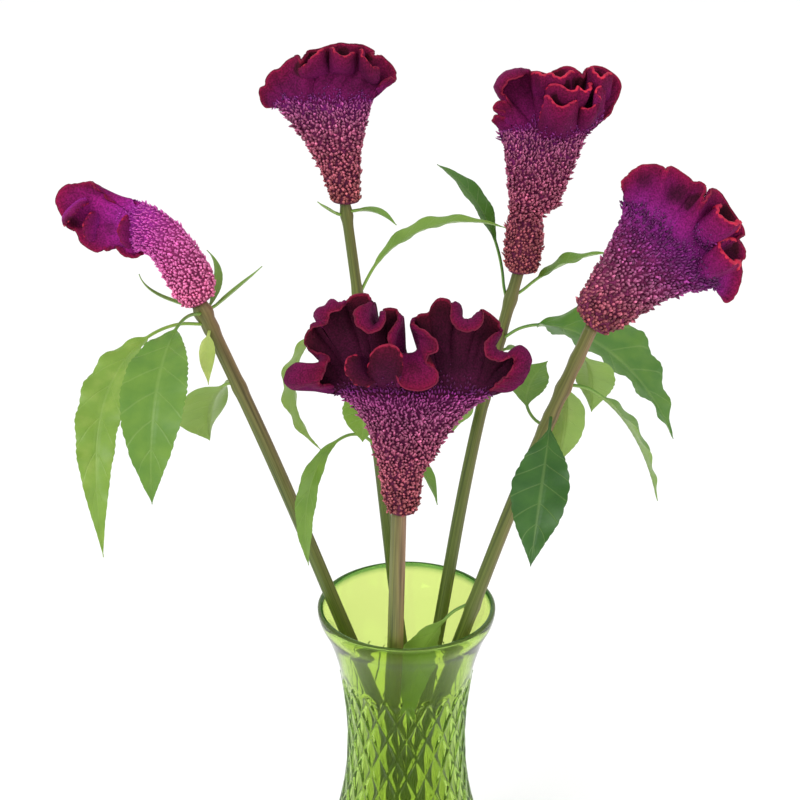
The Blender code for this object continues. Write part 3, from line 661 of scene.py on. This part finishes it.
def floret_material():
    """Dry papery florets, each a small pointed scale: dusty mauve with pale pinkish tips low on the head, and
    brighter violet near the crest. The eye sees them as crowded beads with light tips."""
    material, tree, shader = new_material("papery florets", Roughness=0.55, Specular_IOR_Level=0.3)
    zone, tip, tone = (
        add_node(tree, "ShaderNodeAttribute", out="Fac", attribute_name=name)
        for name in ("zone", "tip", "tone")
    )
    body, point = (
        add_node(tree, "ShaderNodeValToRGB", {"Fac": zone}, stops=stops)
        for stops in (
            ((0.0, "621628"), (1.0, "460A34"), (0.22, "701A3A"), (0.4, "761C4E"), (0.54, "72185A"),
             (0.68, "68125E"), (0.85, "561050")),
            ((0.0, "B0605E"), (1.0, "520E40"), (0.22, "BE667A"), (0.4, "B86690"), (0.54, "A0428A"),
             (0.68, "842A7C"), (0.85, "64165C")),
        )
    )
    turn = add_node(tree, "ShaderNodeMath", {0: tip, 1: 1.3}, operation="POWER")
    scale = add_node(
        tree, "ShaderNodeMix", {"Factor": turn, MIX_A: body, MIX_B: point}, out=MIX_OUT, data_type="RGBA"
    )
    light = add_node(tree, "ShaderNodeMapRange", {"Value": tone, "To Min": 0.55, "To Max": 1.35}, clamp=False)
    varied = add_node(tree, "ShaderNodeVectorMath", {0: scale, "Scale": light}, operation="SCALE")
    tree.links.new(varied, shader.inputs["Base Color"])
    return material


def ridge_material():
    """Growing line along the crest: a fine moist cord. The eye sees crimson, brighter and smoother than the
    velvet, that changes a little along the line."""
    material, tree, shader = new_material("crimson growing line", Roughness=0.6, Specular_IOR_Level=0.2)
    tone = add_node(tree, "ShaderNodeAttribute", out="Fac", attribute_name="tone")
    place = add_node(tree, "ShaderNodeTexCoord", out="Object")
    beads = add_node(tree, "ShaderNodeTexNoise", {"Vector": place, "Scale": LINE_BEADS, "Detail": 3.0})
    dull = add_node(tree, "ShaderNodeValToRGB", {"Fac": beads}, stops=((0.3, "3E0420"), (0.75, "6E0A34")))
    vivid = add_node(tree, "ShaderNodeValToRGB", {"Fac": beads}, stops=((0.3, "94103A"), (0.7, "D42846")))
    red = add_node(
        tree, "ShaderNodeMix", {"Factor": tone, MIX_A: dull, MIX_B: vivid}, out=MIX_OUT, data_type="RGBA"
    )
    tree.links.new(red, shader.inputs["Base Color"])
    return material


# Vase


def radius_at(heights, profile):
    """Radius of a profile at these heights, along a cubic through its points."""
    fine = curve_through(profile, np.linspace(0, 1, 400))
    return np.interp(heights, fine[:, 1], fine[:, 0])


def lattice(angle, height):
    """Pressed relief: two families of ridges that cross as diamonds, with a hollow in each diamond. Both
    fade out at the foot and below a scalloped border, which is a ridge itself."""
    across = DIAMONDS * angle / TURN
    rise = height / DIAMOND_HEIGHT
    first, second = across + rise, across - rise
    near = [np.abs((family + 0.5) % 1 - 0.5) for family in (first, second)]
    ridge = np.maximum(*(np.exp(-((d / RIDGE_SHARE) ** 2)) for d in near))
    hollow = np.abs(np.sin(math.pi * first) * np.sin(math.pi * second))
    border = LATTICE_TOP + SCALLOP * np.abs(np.cos(math.pi * across))
    inside = smooth_step(border - height, -0.8, 1.0) * smooth_step(height, LATTICE_FOOT, LATTICE_FOOT + 4)
    edge = BORDER_SHARE * np.exp(-(((border - height) / BORDER_WIDTH) ** 2))
    return (RIDGE_HEIGHT * ridge - HOLLOW_DEPTH * hollow) * inside + RIDGE_HEIGHT * edge


def make_vase(material):
    """Surface of revolution: radius(height) + lattice(angle, height) outside, smooth inside, rounded lip."""
    angle = np.linspace(0, TURN, GLASS_COLUMNS, endpoint=False)
    outer_z = np.concatenate([[0, 0.5, 1.2, 3, 6, 10], np.arange(15, 186, 1.3), np.arange(187, 227, 2.0)])
    outer = radius_at(outer_z, VASE_PROFILE)[:, None] + lattice(angle[None, :], outer_z[:, None])
    lip_turn = np.linspace(0, math.pi, 12)
    lip_r = LIP[0] + LIP[2] * np.cos(lip_turn)
    lip_z = LIP[1] + LIP[2] * np.sin(lip_turn)
    inner_z = np.concatenate([np.linspace(226, 24, 80), [20, 16.5, 14, 12.8]])
    wall = np.interp(inner_z, (20, 215, 226), (WALL + 0.6, WALL, 3.4))
    inner_r = radius_at(inner_z, VASE_PROFILE) - wall
    inner_r[-3:] -= (0.8, 2.2, 4.5)
    plain = np.repeat(np.concatenate([lip_r, inner_r])[:, None], GLASS_COLUMNS, 1)
    radii = np.concatenate([outer, plain])
    heights = np.concatenate([outer_z, lip_z, inner_z])
    level = np.repeat(heights[:, None], GLASS_COLUMNS, 1)
    points = np.stack([radii * np.cos(angle), radii * np.sin(angle), level], -1).reshape(-1, 3)
    points = np.concatenate([points, [(0, 0, 1.5), (0, 0, FLOOR_Z)]])
    # Painted shade for the glass: a dark band along the rim, strongest on its inner side, and a faint deeper
    # green over the lattice.
    rim_shade_band = smooth_step(points[:, 2], VASE_HEIGHT - 4.5, VASE_HEIGHT - 1.8)
    inward = smooth_step(-np.hypot(points[:, 0], points[:, 1]), -RIM_RADIUS + 0.6, -RIM_RADIUS + 1.8)
    body = smooth_step(-points[:, 2], -LATTICE_TOP - 4, 12 - LATTICE_TOP)
    rim = np.maximum(rim_shade_band * (0.5 + 0.4 * inward), 0.14 * body)
    faces = closed_tube(len(heights), GLASS_COLUMNS)
    add_piece("glass_vase", points, faces, material, ["vase"], {"rim": rim})


# Stems


def stem_point(key, height):
    """Centre of a stem at a height: straight inside the vase, bowed sideways a little above the rim."""
    stem = STEMS[key]
    foot, rim, top = (np.array(stem[end], float) for end in ("foot", "rim", "top"))
    height = np.asarray(height, float)[..., None]
    below = foot + (rim - foot) * (height - foot[2]) / (rim[2] - foot[2])
    share = (height - rim[2]) / (top[2] - rim[2])
    above = rim + (top - rim) * share + np.sin(math.pi * share) * np.array([stem["bow"], 0, 0])
    return np.where(height <= rim[2], below, above)


def stem_top(key):
    """Where a stem ends and its head begins."""
    return stem_point(key, STEMS[key]["top"][2])


def stem_radius(key, height):
    """Radius of a stem at a height: an even taper from its foot to its top."""
    stem = STEMS[key]
    return np.interp(height, (stem["foot"][2], stem["top"][2]), stem["radii"])


def make_stem(key, material):
    """A round rod along the stem: radius x (1 + ribs), swollen a little where leaves grow out."""
    stem = STEMS[key]
    heights = np.linspace(stem["foot"][2], stem["top"][2], STEM_ROWS)
    path = stem_point(key, heights)
    angle = np.linspace(0, TURN, STEM_COLUMNS, endpoint=False)
    drift = 0.25 * np.sin(heights / 37 + len(key))[:, None]
    ribs = RIB_DEPTH * np.cos(9 * (angle + drift)) + 0.02 * np.cos(5 * angle + 1 + drift)
    radius = stem_radius(key, heights)[:, None] * np.ones(STEM_COLUMNS) * (1 - RIB_DEPTH + ribs)
    for leaf in LEAVES.values():
        if leaf[0] == key:
            radius += NODE_SWELL * np.exp(-(((heights - leaf[1] + 1) / 3.5) ** 2))[:, None]
    points, faces = rod(path, radius)
    share = np.repeat(np.linspace(0, 1, STEM_ROWS), STEM_COLUMNS)
    around = np.tile(angle, STEM_ROWS)
    top = smooth_step(share, 0.45, 1.05)
    side = 0.5 + 0.5 * np.cos(around - 0.6)
    flushed = 1.5 * top * (0.25 + 0.75 * side) + 0.5 * side * smooth_step(share, 0.2, 0.6)
    flush = np.clip(stem["blush"] * flushed, 0, 1)
    uv = np.stack([around / TURN, share * STEM_ROWS / 10], 1)
    uv = np.concatenate([uv, uv[:1], uv[-1:]])
    flush = np.concatenate([flush, flush[:1], flush[-1:]])
    add_piece(f"stalk_{key}", points, faces, material, [f"stem_{key}"], {"flush": flush}, uv)


# Leaves


def midrib(leaf):
    """Path of a leaf's midrib, from its root on the stem to its tip, and the direction across the blade."""
    length = leaf["petiole"] + leaf["blade"]
    rows = np.linspace(0, 1, LEAF_ROWS)
    middle = (rows[1:] + rows[:-1]) / 2
    climb = np.radians(leaf["climb"] + (leaf["end"] - leaf["climb"]) * middle ** leaf["late"])
    heading = np.radians(leaf["azimuth"] + leaf["swing"] * middle)
    steps = np.stack([np.cos(climb) * np.cos(heading), np.cos(climb) * np.sin(heading), np.sin(climb)], 1)
    steps *= length / (LEAF_ROWS - 1)
    reach = stem_radius(leaf["stem"], leaf["height"]) + LEAF_THICKNESS / 2 + SEAT_GAP
    start = math.radians(leaf["azimuth"])
    out = np.array([math.cos(start), math.sin(start), 0])
    root = stem_point(leaf["stem"], leaf["height"]) + reach * out
    path = root + np.concatenate([np.zeros((1, 3)), np.cumsum(steps, 0)])
    path[0] -= out * (SEAT_GAP + LEAF_THICKNESS)
    heading = np.radians(leaf["azimuth"] + leaf["swing"] * rows)
    across = np.stack([-np.sin(heading), np.cos(heading), np.zeros(LEAF_ROWS)], 1)
    return path, across


def leaf_frame(leaf, shares):
    """Path of a leaf at these shares of its length, and the directions across it and up from it, which roll
    about the midrib over its first half."""
    path, across = midrib(leaf)
    path = curve_through(path, shares)
    across = unit(curve_through(across, shares))
    ahead = unit(np.gradient(path, axis=0))
    up = np.cross(ahead, across)
    roll = (math.radians(leaf["roll"]) * np.clip(shares * 2, 0, 1))[:, None]
    across = across * np.cos(roll) + up * np.sin(roll)
    return path, across, np.cross(ahead, across)


def leaf_section(name, leaf, blade, s):
    """Sections of a leaf at shares of its blade (0 on the petiole), for s from -1 to 1 across it. Gives each
    point's way to the side, its rise, and how far the top and the under side lie from there. The rise is the
    fold plus the wave of the margin. Half width is sin(pi t^p)^1.15 of the widest, for t from the blade's
    foot to its tip and p such that it is widest where the table says. Small teeth run along the margin, and
    veins are pressed in."""
    _, waves, _, wider, widest = LEAF_LOOKS[name]
    seed = sum(map(ord, name))
    outline = np.clip(np.sin(math.pi * blade ** (math.log(0.5) / math.log(widest))), 0, 1) ** 1.15
    stalk = (PETIOLE_WIDTH / 2 * (1 - 0.7 * blade))[:, None]
    half = np.maximum((leaf["width"] * wider / 2 * outline)[:, None], stalk)
    flat = smooth_step(half, stalk * 1.05, stalk * 2.6)
    fold = math.radians(LEAF_FOLD)
    way = blade[:, None] * leaf["blade"]
    ripple = waves * np.abs(s) ** 2.2 * np.sin(TURN * (way / MARGIN_WAVE) + 2.1 * np.sign(s) + seed)
    rise = half * np.abs(s) * math.sin(fold) + ripple * flat * np.minimum(1, half / 8)
    teeth = np.abs(np.sin(math.pi * blade * leaf["blade"] / TOOTH_STEP + 2 * np.sin(9 * blade + seed))) - 0.6
    side = half * s * (math.cos(fold) + TOOTH_SHARE * s**4 * teeth[:, None] * flat)
    vein = np.abs(((VEINS * blade[:, None] - VEIN_LEAN * np.abs(s)) + 0.5) % 1 - 0.5)
    pressed = np.exp(-((vein / 0.16) ** 2)) * flat * (1 - s**4) * min(1, leaf["width"] / 20)
    groove = VEIN_DEPTH * pressed
    thick = stalk * np.sqrt(1 - s**2) * (1 - flat) + BLADE_HALF * np.sqrt(1 - s**6) * flat
    keel = stalk * 0.9 * np.exp(-((s * half / (stalk * 1.1)) ** 2)) * flat
    return side, rise, thick - groove - 0.3 * keel, thick + groove + keel


def make_leaf(name, material):
    """A round petiole that flattens into a lance-shaped blade. Each row runs across the under side and back
    over the top, so that it closes on itself."""
    leaf = dict(zip(LEAF_KEYS, LEAVES[name]))
    tone, _, further, _, _ = LEAF_LOOKS[name]
    length = leaf["petiole"] + leaf["blade"]
    rows = int(np.clip(length * 1.1, 30, 160))
    half_columns = 9 if leaf["width"] < 10 else 15
    shares = np.linspace(0, 1, rows)
    blade = np.clip((shares * length - leaf["petiole"] - further) / (leaf["blade"] - further), 0, 1)
    s = np.sin(np.linspace(-math.pi / 2, math.pi / 2, half_columns))[None, :]
    path, across, up = leaf_frame(leaf, shares)
    side, rise, above, below = leaf_section(name, leaf, blade, s)
    middle = path[:, None] + side[..., None] * across[:, None] + rise[..., None] * up[:, None]
    top = middle + above[..., None] * up[:, None]
    under = middle - below[..., None] * up[:, None]
    loop = np.concatenate([under, top[:, ::-1]], 1)
    points = np.concatenate([loop.reshape(-1, 3), path[:1], path[-1:]])
    columns = 2 * half_columns
    uv = np.stack([np.repeat(blade, columns), np.tile(np.concatenate([s[0], s[0, ::-1]]), rows)], 1)
    uv = np.concatenate([uv, uv[:1], uv[-1:]])
    under_side = np.concatenate([np.tile(np.repeat([1.0, 0.0], half_columns), rows), [0, 0]])
    values = {"tone": np.full(len(points), tone), "under": under_side}
    shape = name.replace("leaf", "blade").replace("bract", "scale")
    add_piece(shape, points, closed_tube(rows, columns), material, [name], values, uv)


# Heads


def seen_height(points):
    """Crest heights are given as seen from the camera's pitch: a point further back really lies lower."""
    return points - points[..., 1:2] * (0, 0, TILT)


def sheet_normals(middle):
    """Directions square to a grid of points, towards its front."""
    run = np.gradient(middle, axis=1)
    climb = np.gradient(middle, axis=0)
    normal = unit(np.cross(run, climb))
    normal[:, 0], normal[:, -1] = normal[:, 1], normal[:, -2]
    return normal


def crinkled_sheet(rows, up, around, root):
    """Mid-surface of a head: a cubic through the columns of each key row, then up through the key rows. Above
    the root it gets small ripples: normal x depth(height) x sine of the way along the growing line."""
    across = (1 - np.cos(around)) / 2
    middle = curve_through(np.stack([curve_through(row, across) for row in rows]), up)
    way = way_along(middle[-1])[None, :]
    rise = np.clip((up - root) / (1 - root), 0, 1)[:, None]
    ripple = np.sin(TURN * way / 6.1 + 1.7 * np.sin(way / 7)) + 0.6 * np.sin(TURN * way / 3.3 + 9 * rise)
    ends = np.clip(np.minimum(way, way[0, -1] - way) / 8, 0, 1)
    return middle + sheet_normals(middle) * (CRINKLE_DEPTH * rise**1.5 * ripple * ends)[..., None]


def painted_hollow_shade(points, key, shade):
    """How much painted shade each point of a crest gets: its head's shade, or more in a hollow, as
    exp(-(distance / radius)^3).
    """
    top = stem_top(key)
    seen_top = top[2] + TILT * top[1]
    seen = points[:, 2] + TILT * points[:, 1]
    dark = np.full(len(points), float(shade))
    for right, up, radius, front, depth in POCKET_SHADE[key]:
        gap = np.hypot(points[:, 0] - (right + top[0]), seen - (up + seen_top))
        hollow = depth * np.exp(-((gap / radius) ** 3))
        front = front + top[1]
        dark = np.maximum(dark, hollow * smooth_step(points[:, 1], front - 1, front + 1))
    return dark


def crest_faces(rows, columns):
    """Faces of a crest: a tube that is zipped shut along its last row and closed by a fan at its foot."""
    top = (rows - 1) * columns
    left = top + np.arange(1, columns // 2)
    right = top + columns - np.arange(1, columns // 2)
    zipped = np.stack([left[:-1], left[1:], right[1:], right[:-1]], 1)
    ends = np.array([(top, top + 1, top + columns - 1), (left[-1], top + columns // 2, right[-1])])
    foot = fan(np.arange(columns), rows * columns, True)
    return [tube_faces(rows, columns), zipped, np.concatenate([foot, ends])]


def crest_values(points, key, looks, up, root, columns):
    """What the velvet's colour reads at each point. Climb is 0 at the neck, 0.5 or a little more at the foot
    of the crest and 1 at the growing line. Flank is 1 on the back, shade is the painted shade, 1 where the
    front is darkest, and light changes the foot of the crest. Painted shade also lowers flank, so the back
    takes on the shaded front colour deep in a hollow and a little on darker heads."""
    risen = looks["red"] + (1 - looks["red"]) * (up - root) / (1 - root)
    climb = 0.5 * np.where(up < root, up / max(root, 1e-6), 1 + risen)
    climb = np.concatenate([np.repeat(climb, columns), [0]])
    flank = np.concatenate([np.tile(np.repeat([0.0, 1.0], columns // 2), len(up)), [0]])
    # Painted shade: the head's shade, raised in the listed hollows.
    dark = painted_hollow_shade(points, key, looks["shade"])
    return {
        "climb": climb,
        "flank": flank * (1 - np.clip(dark - 1, 0, 1)) * (1 - 0.35 * looks["shade"]),
        "shade": np.minimum(dark, 1),
        "light": 1 + looks["band"] * np.exp(-((np.maximum(climb - 0.52, 0) / 0.14) ** 2)),
    }


def make_crest(name, key, looks, rows, depths, root_row, counts, material, nodes=()):
    """A thick sheet. rows are its key rows from the foot up, each the same number of points from left to
    right; depths are their half depths. Below root_row the section is an ellipse, above it a blunt-ended
    strip. The front runs left to right and the back returns, so that each row closes on itself."""
    side_count, row_count = counts
    around = np.linspace(0, math.pi, side_count)
    up = np.linspace(0, 1, row_count)
    root = root_row / (len(rows) - 1)
    middle = crinkled_sheet(rows, up, around, root)
    normal = sheet_normals(middle)
    half = np.interp(up, np.linspace(0, 1, len(rows)), depths)[:, None]
    blunt = np.interp(up, (0, root, root + 0.1, 1), (1, 1, 0.35, 0.35))[:, None]
    rim = np.sqrt(np.clip(1 - smooth_step(up, 0.97, 1.0) ** 2, 0, 1))[:, None]
    profile = np.maximum(np.sin(around), 1e-4)[None, :] ** blunt
    offset = normal * (half * profile * rim + 0.02)[..., None]
    loop = np.concatenate([(middle + offset)[:, :-1], (middle - offset)[:, :0:-1]], 1)
    facing = np.concatenate([normal[:, :-1], -normal[:, :0:-1]], 1)
    points = np.concatenate([loop.reshape(-1, 3), [loop[0].mean(0)]])
    columns = loop.shape[1]
    values = crest_values(points, key, looks, up, root, columns)
    add_piece(name, points, crest_faces(row_count, columns), material, nodes, values)
    return middle, loop, facing


def make_ridge(name, line, radius, glow, material):
    """A fine cord along the crest's edge, thinner at both ends."""
    taper = radius * np.minimum(1, 8 * np.sin(np.linspace(0.01, math.pi - 0.01, len(line))))
    points, faces = rod(line, np.repeat(taper[:, None], CORD_SIDES, 1))
    add_piece(name, points, faces, material, (), {"tone": np.full(len(points), glow)})


def floret_seats(loop, facing, shares, spacings, random):
    """Places on a head in rows, evenly spaced round each row and set half a step off the row below. A row of
    the result is the place, the direction out, the direction up the head, and the share of its height."""
    seats = []
    rows = len(loop)
    for number, (share, spacing) in enumerate(zip(shares, spacings)):
        place = share * (rows - 1)
        low = min(int(place), rows - 2)
        t = place - low
        ring = loop[low] * (1 - t) + loop[low + 1] * t
        out = facing[low] * (1 - t) + facing[low + 1] * t
        climb = loop[low + 1] - loop[low]
        parts = [np.concatenate([part, part[:1]]) for part in (ring, out, climb)]
        travelled = way_along(parts[0])
        count = max(6, int(travelled[-1] / spacing))
        at = (np.arange(count) + 0.5 * (number % 2) + random.uniform(-0.3, 0.3, count)) / count % 1
        at = at * travelled[-1]
        found = [np.interp(at, travelled, part[:, i]) for part in parts for i in range(3)]
        seats.append(np.stack([*found, np.full(count, share)], 1))
    return np.concatenate(seats)


def floret_colours(zone, side_on, looks, random):
    """How far each floret has turned violet, and how light it is. About one in fourteen is paler still."""
    violet = np.clip((zone + 0.4 * side_on) * looks["violet"] / 1.5 + 0.25 * looks["light"], 0, 0.85)
    # The last florets turn towards the crest's colour above them: wine on heads with much painted shade,
    # violet on the others.
    violet += (0.62 + 0.35 * looks["shade"] - violet) * smooth_step(zone, 0.95, 1.25)
    tone = random.uniform(0, 1, len(zone)) + looks["light"] + (random.uniform(0, 1, len(zone)) > 0.93)
    return violet, tone


def make_florets(name, seats, zone, key, material, random):
    """Pointed scales: two rings of four points between a foot and a tip, leaning out and up the head. Zone is
    their height on the head: 0 at the neck, 1 at the foot of the crest."""
    count = len(seats)
    looks = HEAD_LOOKS[key]
    out, climb = unit(seats[:, 3:6]), unit(seats[:, 6:9])
    length = np.interp(zone, FLORET_ZONES, FLORET_LENGTHS) * random.uniform(0.7, 1.35, count)
    side_on = smooth_step(np.abs(out[:, 0]), 0.55, 1)
    longer = (looks["bristle"] - 1) * (0.6 + 1.6 * side_on)
    length *= 1 + longer * smooth_step(zone, 0.2, 0.5) * smooth_step(-zone, -1.1, -0.8)
    wide = looks["bead"] * np.interp(zone, FLORET_ZONES, FLORET_WIDTHS) * random.uniform(0.8, 1.2, count)
    lean = np.interp(zone, FLORET_ZONES, FLORET_LEANS)
    ahead = unit(out + lean[:, None] * climb + random.normal(0, 0.38, (count, 3)))
    side = unit(np.cross(ahead, climb + 1e-3))
    third = np.cross(ahead, side)
    base = seats[:, 0:3] - FLORET_ROOT * out
    angle = np.linspace(0, TURN, FLORET_SIDES, endpoint=False)
    ring = np.cos(angle)[None, :, None] * side[:, None] + np.sin(angle)[None, :, None] * third[:, None]
    parts = [base[:, None]]
    for along, fat in FLORET_RINGS:
        centre = base[:, None] + (ahead * (length * along)[:, None])[:, None]
        parts.append(centre + ring * (wide * fat)[:, None, None])
    parts.append((base + ahead * length[:, None])[:, None])
    points = np.concatenate(parts, 1)
    each = points.shape[1]
    first_ring = np.arange(1, 1 + FLORET_SIDES)
    caps = np.concatenate([fan(first_ring, 0, True), fan(first_ring + FLORET_SIDES, each - 1)])
    walls = tube_faces(2, FLORET_SIDES, 1)
    first = (np.arange(count) * each)[:, None, None]
    faces = [(walls[None] + first).reshape(-1, 4), (caps[None] + first).reshape(-1, 3)]
    tips = np.tile([0.0] + [0.35] * FLORET_SIDES + [0.8] * FLORET_SIDES + [1.0], count)
    violet, tone = floret_colours(zone, side_on, looks, random)
    values = {"tip": tips, "zone": np.repeat(violet, each), "tone": np.repeat(tone, each)}
    add_piece(name, points.reshape(-1, 3), faces, material, (), values)


def crest_rows(line, root):
    """Key rows above the foot of the crest: half way up, below the edge or the top of its curl, and the
    growing line itself."""
    plain = np.array([len(column) == 3 for column in line])[:, None]
    full = [column if len(column) == 6 else (*column[:2], *column[:2], *column[2:] * 2) for column in line]
    full = np.array(full, float)
    outline = seen_height(full[:, (0, 4, 1)])
    ridge = seen_height(full[:, (2, 5, 3)])
    course = unit(ridge - root)
    short = np.minimum(np.linalg.norm(ridge - root, axis=1) * 0.3, 6)[:, None]
    over = 0.6 * outline + 0.4 * ridge
    over[:, 1] = 0.25 * outline[:, 1] + 0.75 * ridge[:, 1]
    over[:, 2] += np.minimum(0.15 * np.linalg.norm(outline - ridge, axis=1), 1.5)
    behind = root * 0.45 + outline * 0.55
    behind[:, 1] = np.where(plain[:, 0], 0.65 * outline[:, 1], outline[:, 1] + 2)
    outline = np.where(plain, ridge - course * short, outline)
    over = np.where(plain, ridge - course * short / 2, over)
    return [behind, outline, over, ridge]


def cone_rows(key, count):
    """Key rows of a cone: straight lines from left to right, each of this many points."""
    share = np.linspace(0, 1, count)[:, None]
    rows = []
    for left, right, _ in CONES[key]:
        line = np.array(left) * (1 - share) + np.array(right) * share
        rows.append(np.stack([line[:, 0], np.zeros(count), line[:, 1]], 1))
    return rows


def floret_levels(middle, root, end, bead):
    """Heights of the rows of florets as shares of the head, from the neck to the end, and the spacing in each
    row. Florets sit closer further up."""
    up = np.linspace(0, 1, len(middle))
    travelled = way_along(middle[:, middle.shape[1] // 2])
    reach = np.interp(end, up, travelled)
    levels, at = [], 1.0
    while at < reach:
        place = np.interp(at, travelled, up)
        levels.append(place)
        at += np.interp(place / root, FLORET_ZONES, FLORET_STEPS) * 0.85 * bead
    levels = np.array(levels)
    return levels, np.interp(levels / root, FLORET_ZONES, FLORET_STEPS) * bead


def make_head(key, materials):
    """One head: the rows of its cone, then those of its crest, and the growing line. Florets cover it from
    the neck to a little above the foot of the crest, where they thin out."""
    rows = cone_rows(key, len(CRESTS[key]))
    root_row = len(rows) - 1
    rows += crest_rows(CRESTS[key], rows[-1])
    rows = [row + stem_top(key) for row in rows]
    depths = [depth for _, _, depth in CONES[key]] + CREST_DEPTHS
    random = np.random.default_rng(ord(key))
    looks = HEAD_LOOKS[key]
    middle, loop, facing = make_crest(
        f"crest_{key}", key, looks, rows, depths, root_row, CREST_GRIDS[key], materials["crest"],
        [f"head_{key}"],
    )
    make_ridge(f"growing_line_{key}", middle[-1], CORD_RADIUS, looks["line"], materials["ridge"])
    last = len(rows) - 1
    root = root_row / last
    levels, spacings = floret_levels(middle, root, root + 0.6 / last, looks["bead"])
    seats = floret_seats(loop, facing, levels, spacings, random)
    height = seats[:, 9]
    zone = np.where(height < root, height / root, 1 + (height - root) * last / 1.2)
    kept = random.uniform(0, 1, len(zone)) > smooth_step(zone, 1.0, 1.5)
    zone = np.clip(zone, 0, 1.5)
    make_florets(f"florets_{key}", seats[kept], zone[kept], key, materials["floret"], random)


def make_front_fold(name, materials):
    """A small sheet folded forward in front of a crest: from its roots it bulges out, then up to its growing
    line, which turns back a little. One that grows out of the florets has some on its foot."""
    key, left, right, line = FRONT_FOLDS[name]
    top = stem_top(key)
    edge = np.array(line, float)[:, (0, 2, 1)]
    edge[[0, -1], 1] += FOLD_TUCK
    edge = seen_height(edge)
    share = np.linspace(0, 1, len(edge))[:, None]
    ends = seen_height(np.array([left, right], float)[:, (0, 2, 1)])
    root = ends[0] * (1 - share) + ends[1] * share
    rows = [root * (1 - t) + edge * t + top for t in FOLD_HEIGHTS]
    puff = min(1, -np.mean([point[2] for point in line]) / 10)
    for row, bulge in zip(rows, FOLD_BULGES):
        row[:, 1] += puff * bulge * np.sin(math.pi * share[:, 0]) ** 0.6
    # A fold takes a little less painted shade than its head, and half the lighter foot.
    looks = dict(HEAD_LOOKS[key])
    looks.update(shade=0.9 * looks["shade"], band=0.5 * looks["band"])
    middle, loop, facing = make_crest(
        f"front_fold_{name}", key, looks, rows, FOLD_DEPTHS, 0, FOLD_GRID, materials["crest"]
    )
    line_name = f"front_growing_line_{name}"
    make_ridge(line_name, middle[-1], looks["cord"], looks["fold_line"], materials["ridge"])
    if left[1] < CONES[key][-1][0][1] + 3:
        random = np.random.default_rng(len(name))
        levels = np.arange(0.04, 0.3, 0.045)
        seats = floret_seats(loop, facing, levels, np.full(len(levels), 1.3), random)
        seats = seats[random.uniform(0, 1, len(seats)) > smooth_step(seats[:, 9], 0, 0.3)]
        make_florets(f"florets_fold_{name}", seats, 1 + seats[:, 9], key, materials["floret"], random)


# Room, in metres


def make_room():
    """A wide pale floor, a white dome of light, two softboxes, and the photograph's camera."""
    corners = [(x * FLOOR_HALF, y * FLOOR_HALF, 0) for x, y in ((-1, -1), (1, -1), (1, 1), (-1, 1))]
    mesh = bpy.data.meshes.new("floor")
    mesh.from_pydata(corners, [], [(0, 1, 2, 3)])
    mesh.materials.append(new_material("matt white paper", Base_Color=linear("FAFAFA"), Roughness=0.9)[0])
    world = bpy.data.worlds.new("white dome")
    world.use_nodes = True
    world.node_tree.nodes["Background"].inputs["Color"].default_value = (1, 1, 1, 1)
    world.node_tree.nodes["Background"].inputs["Strength"].default_value = 1.0
    bpy.context.scene.world = world
    staged = [bpy.data.objects.new("floor", mesh)]
    for name, place, side, power in SOFTBOXES:
        light = bpy.data.lights.new(name, "AREA")
        light.shape = "SQUARE"
        light.size = side
        light.energy = power
        lamp = bpy.data.objects.new(name, light)
        lamp.location = place
        x, y, z = np.array(SOFTBOX_AIM) - np.array(place)
        lamp.rotation_euler = (math.acos(-z / math.hypot(x, y, z)), 0, math.atan2(y, x) - math.pi / 2)
        staged.append(lamp)
    lens = bpy.data.cameras.new("camera")
    lens.lens = FOCAL_LENGTH
    lens.sensor_width = SENSOR_WIDTH
    camera = bpy.data.objects.new("camera", lens)
    camera.location = CAMERA_PLACE
    camera.rotation_euler = (math.radians(90 - PITCH), 0, 0)
    staged.append(camera)
    for item in staged:
        bpy.context.scene.collection.objects.link(item)
    bpy.context.scene.camera = camera
    bpy.context.scene.view_settings.view_transform = "Standard"


def main():
    """The room, then the vase, the stems, the leaves and the heads."""
    make_room()
    make_vase(glass_material())
    stalk = stem_material()
    for key in STEMS:
        make_stem(key, stalk)
    blade = leaf_material()
    for name in LEAVES:
        make_leaf(name, blade)
    materials = {"crest": crest_material(), "floret": floret_material(), "ridge": ridge_material()}
    for key in STEMS:
        make_head(key, materials)
    for name in FRONT_FOLDS:
        make_front_fold(name, materials)


main()
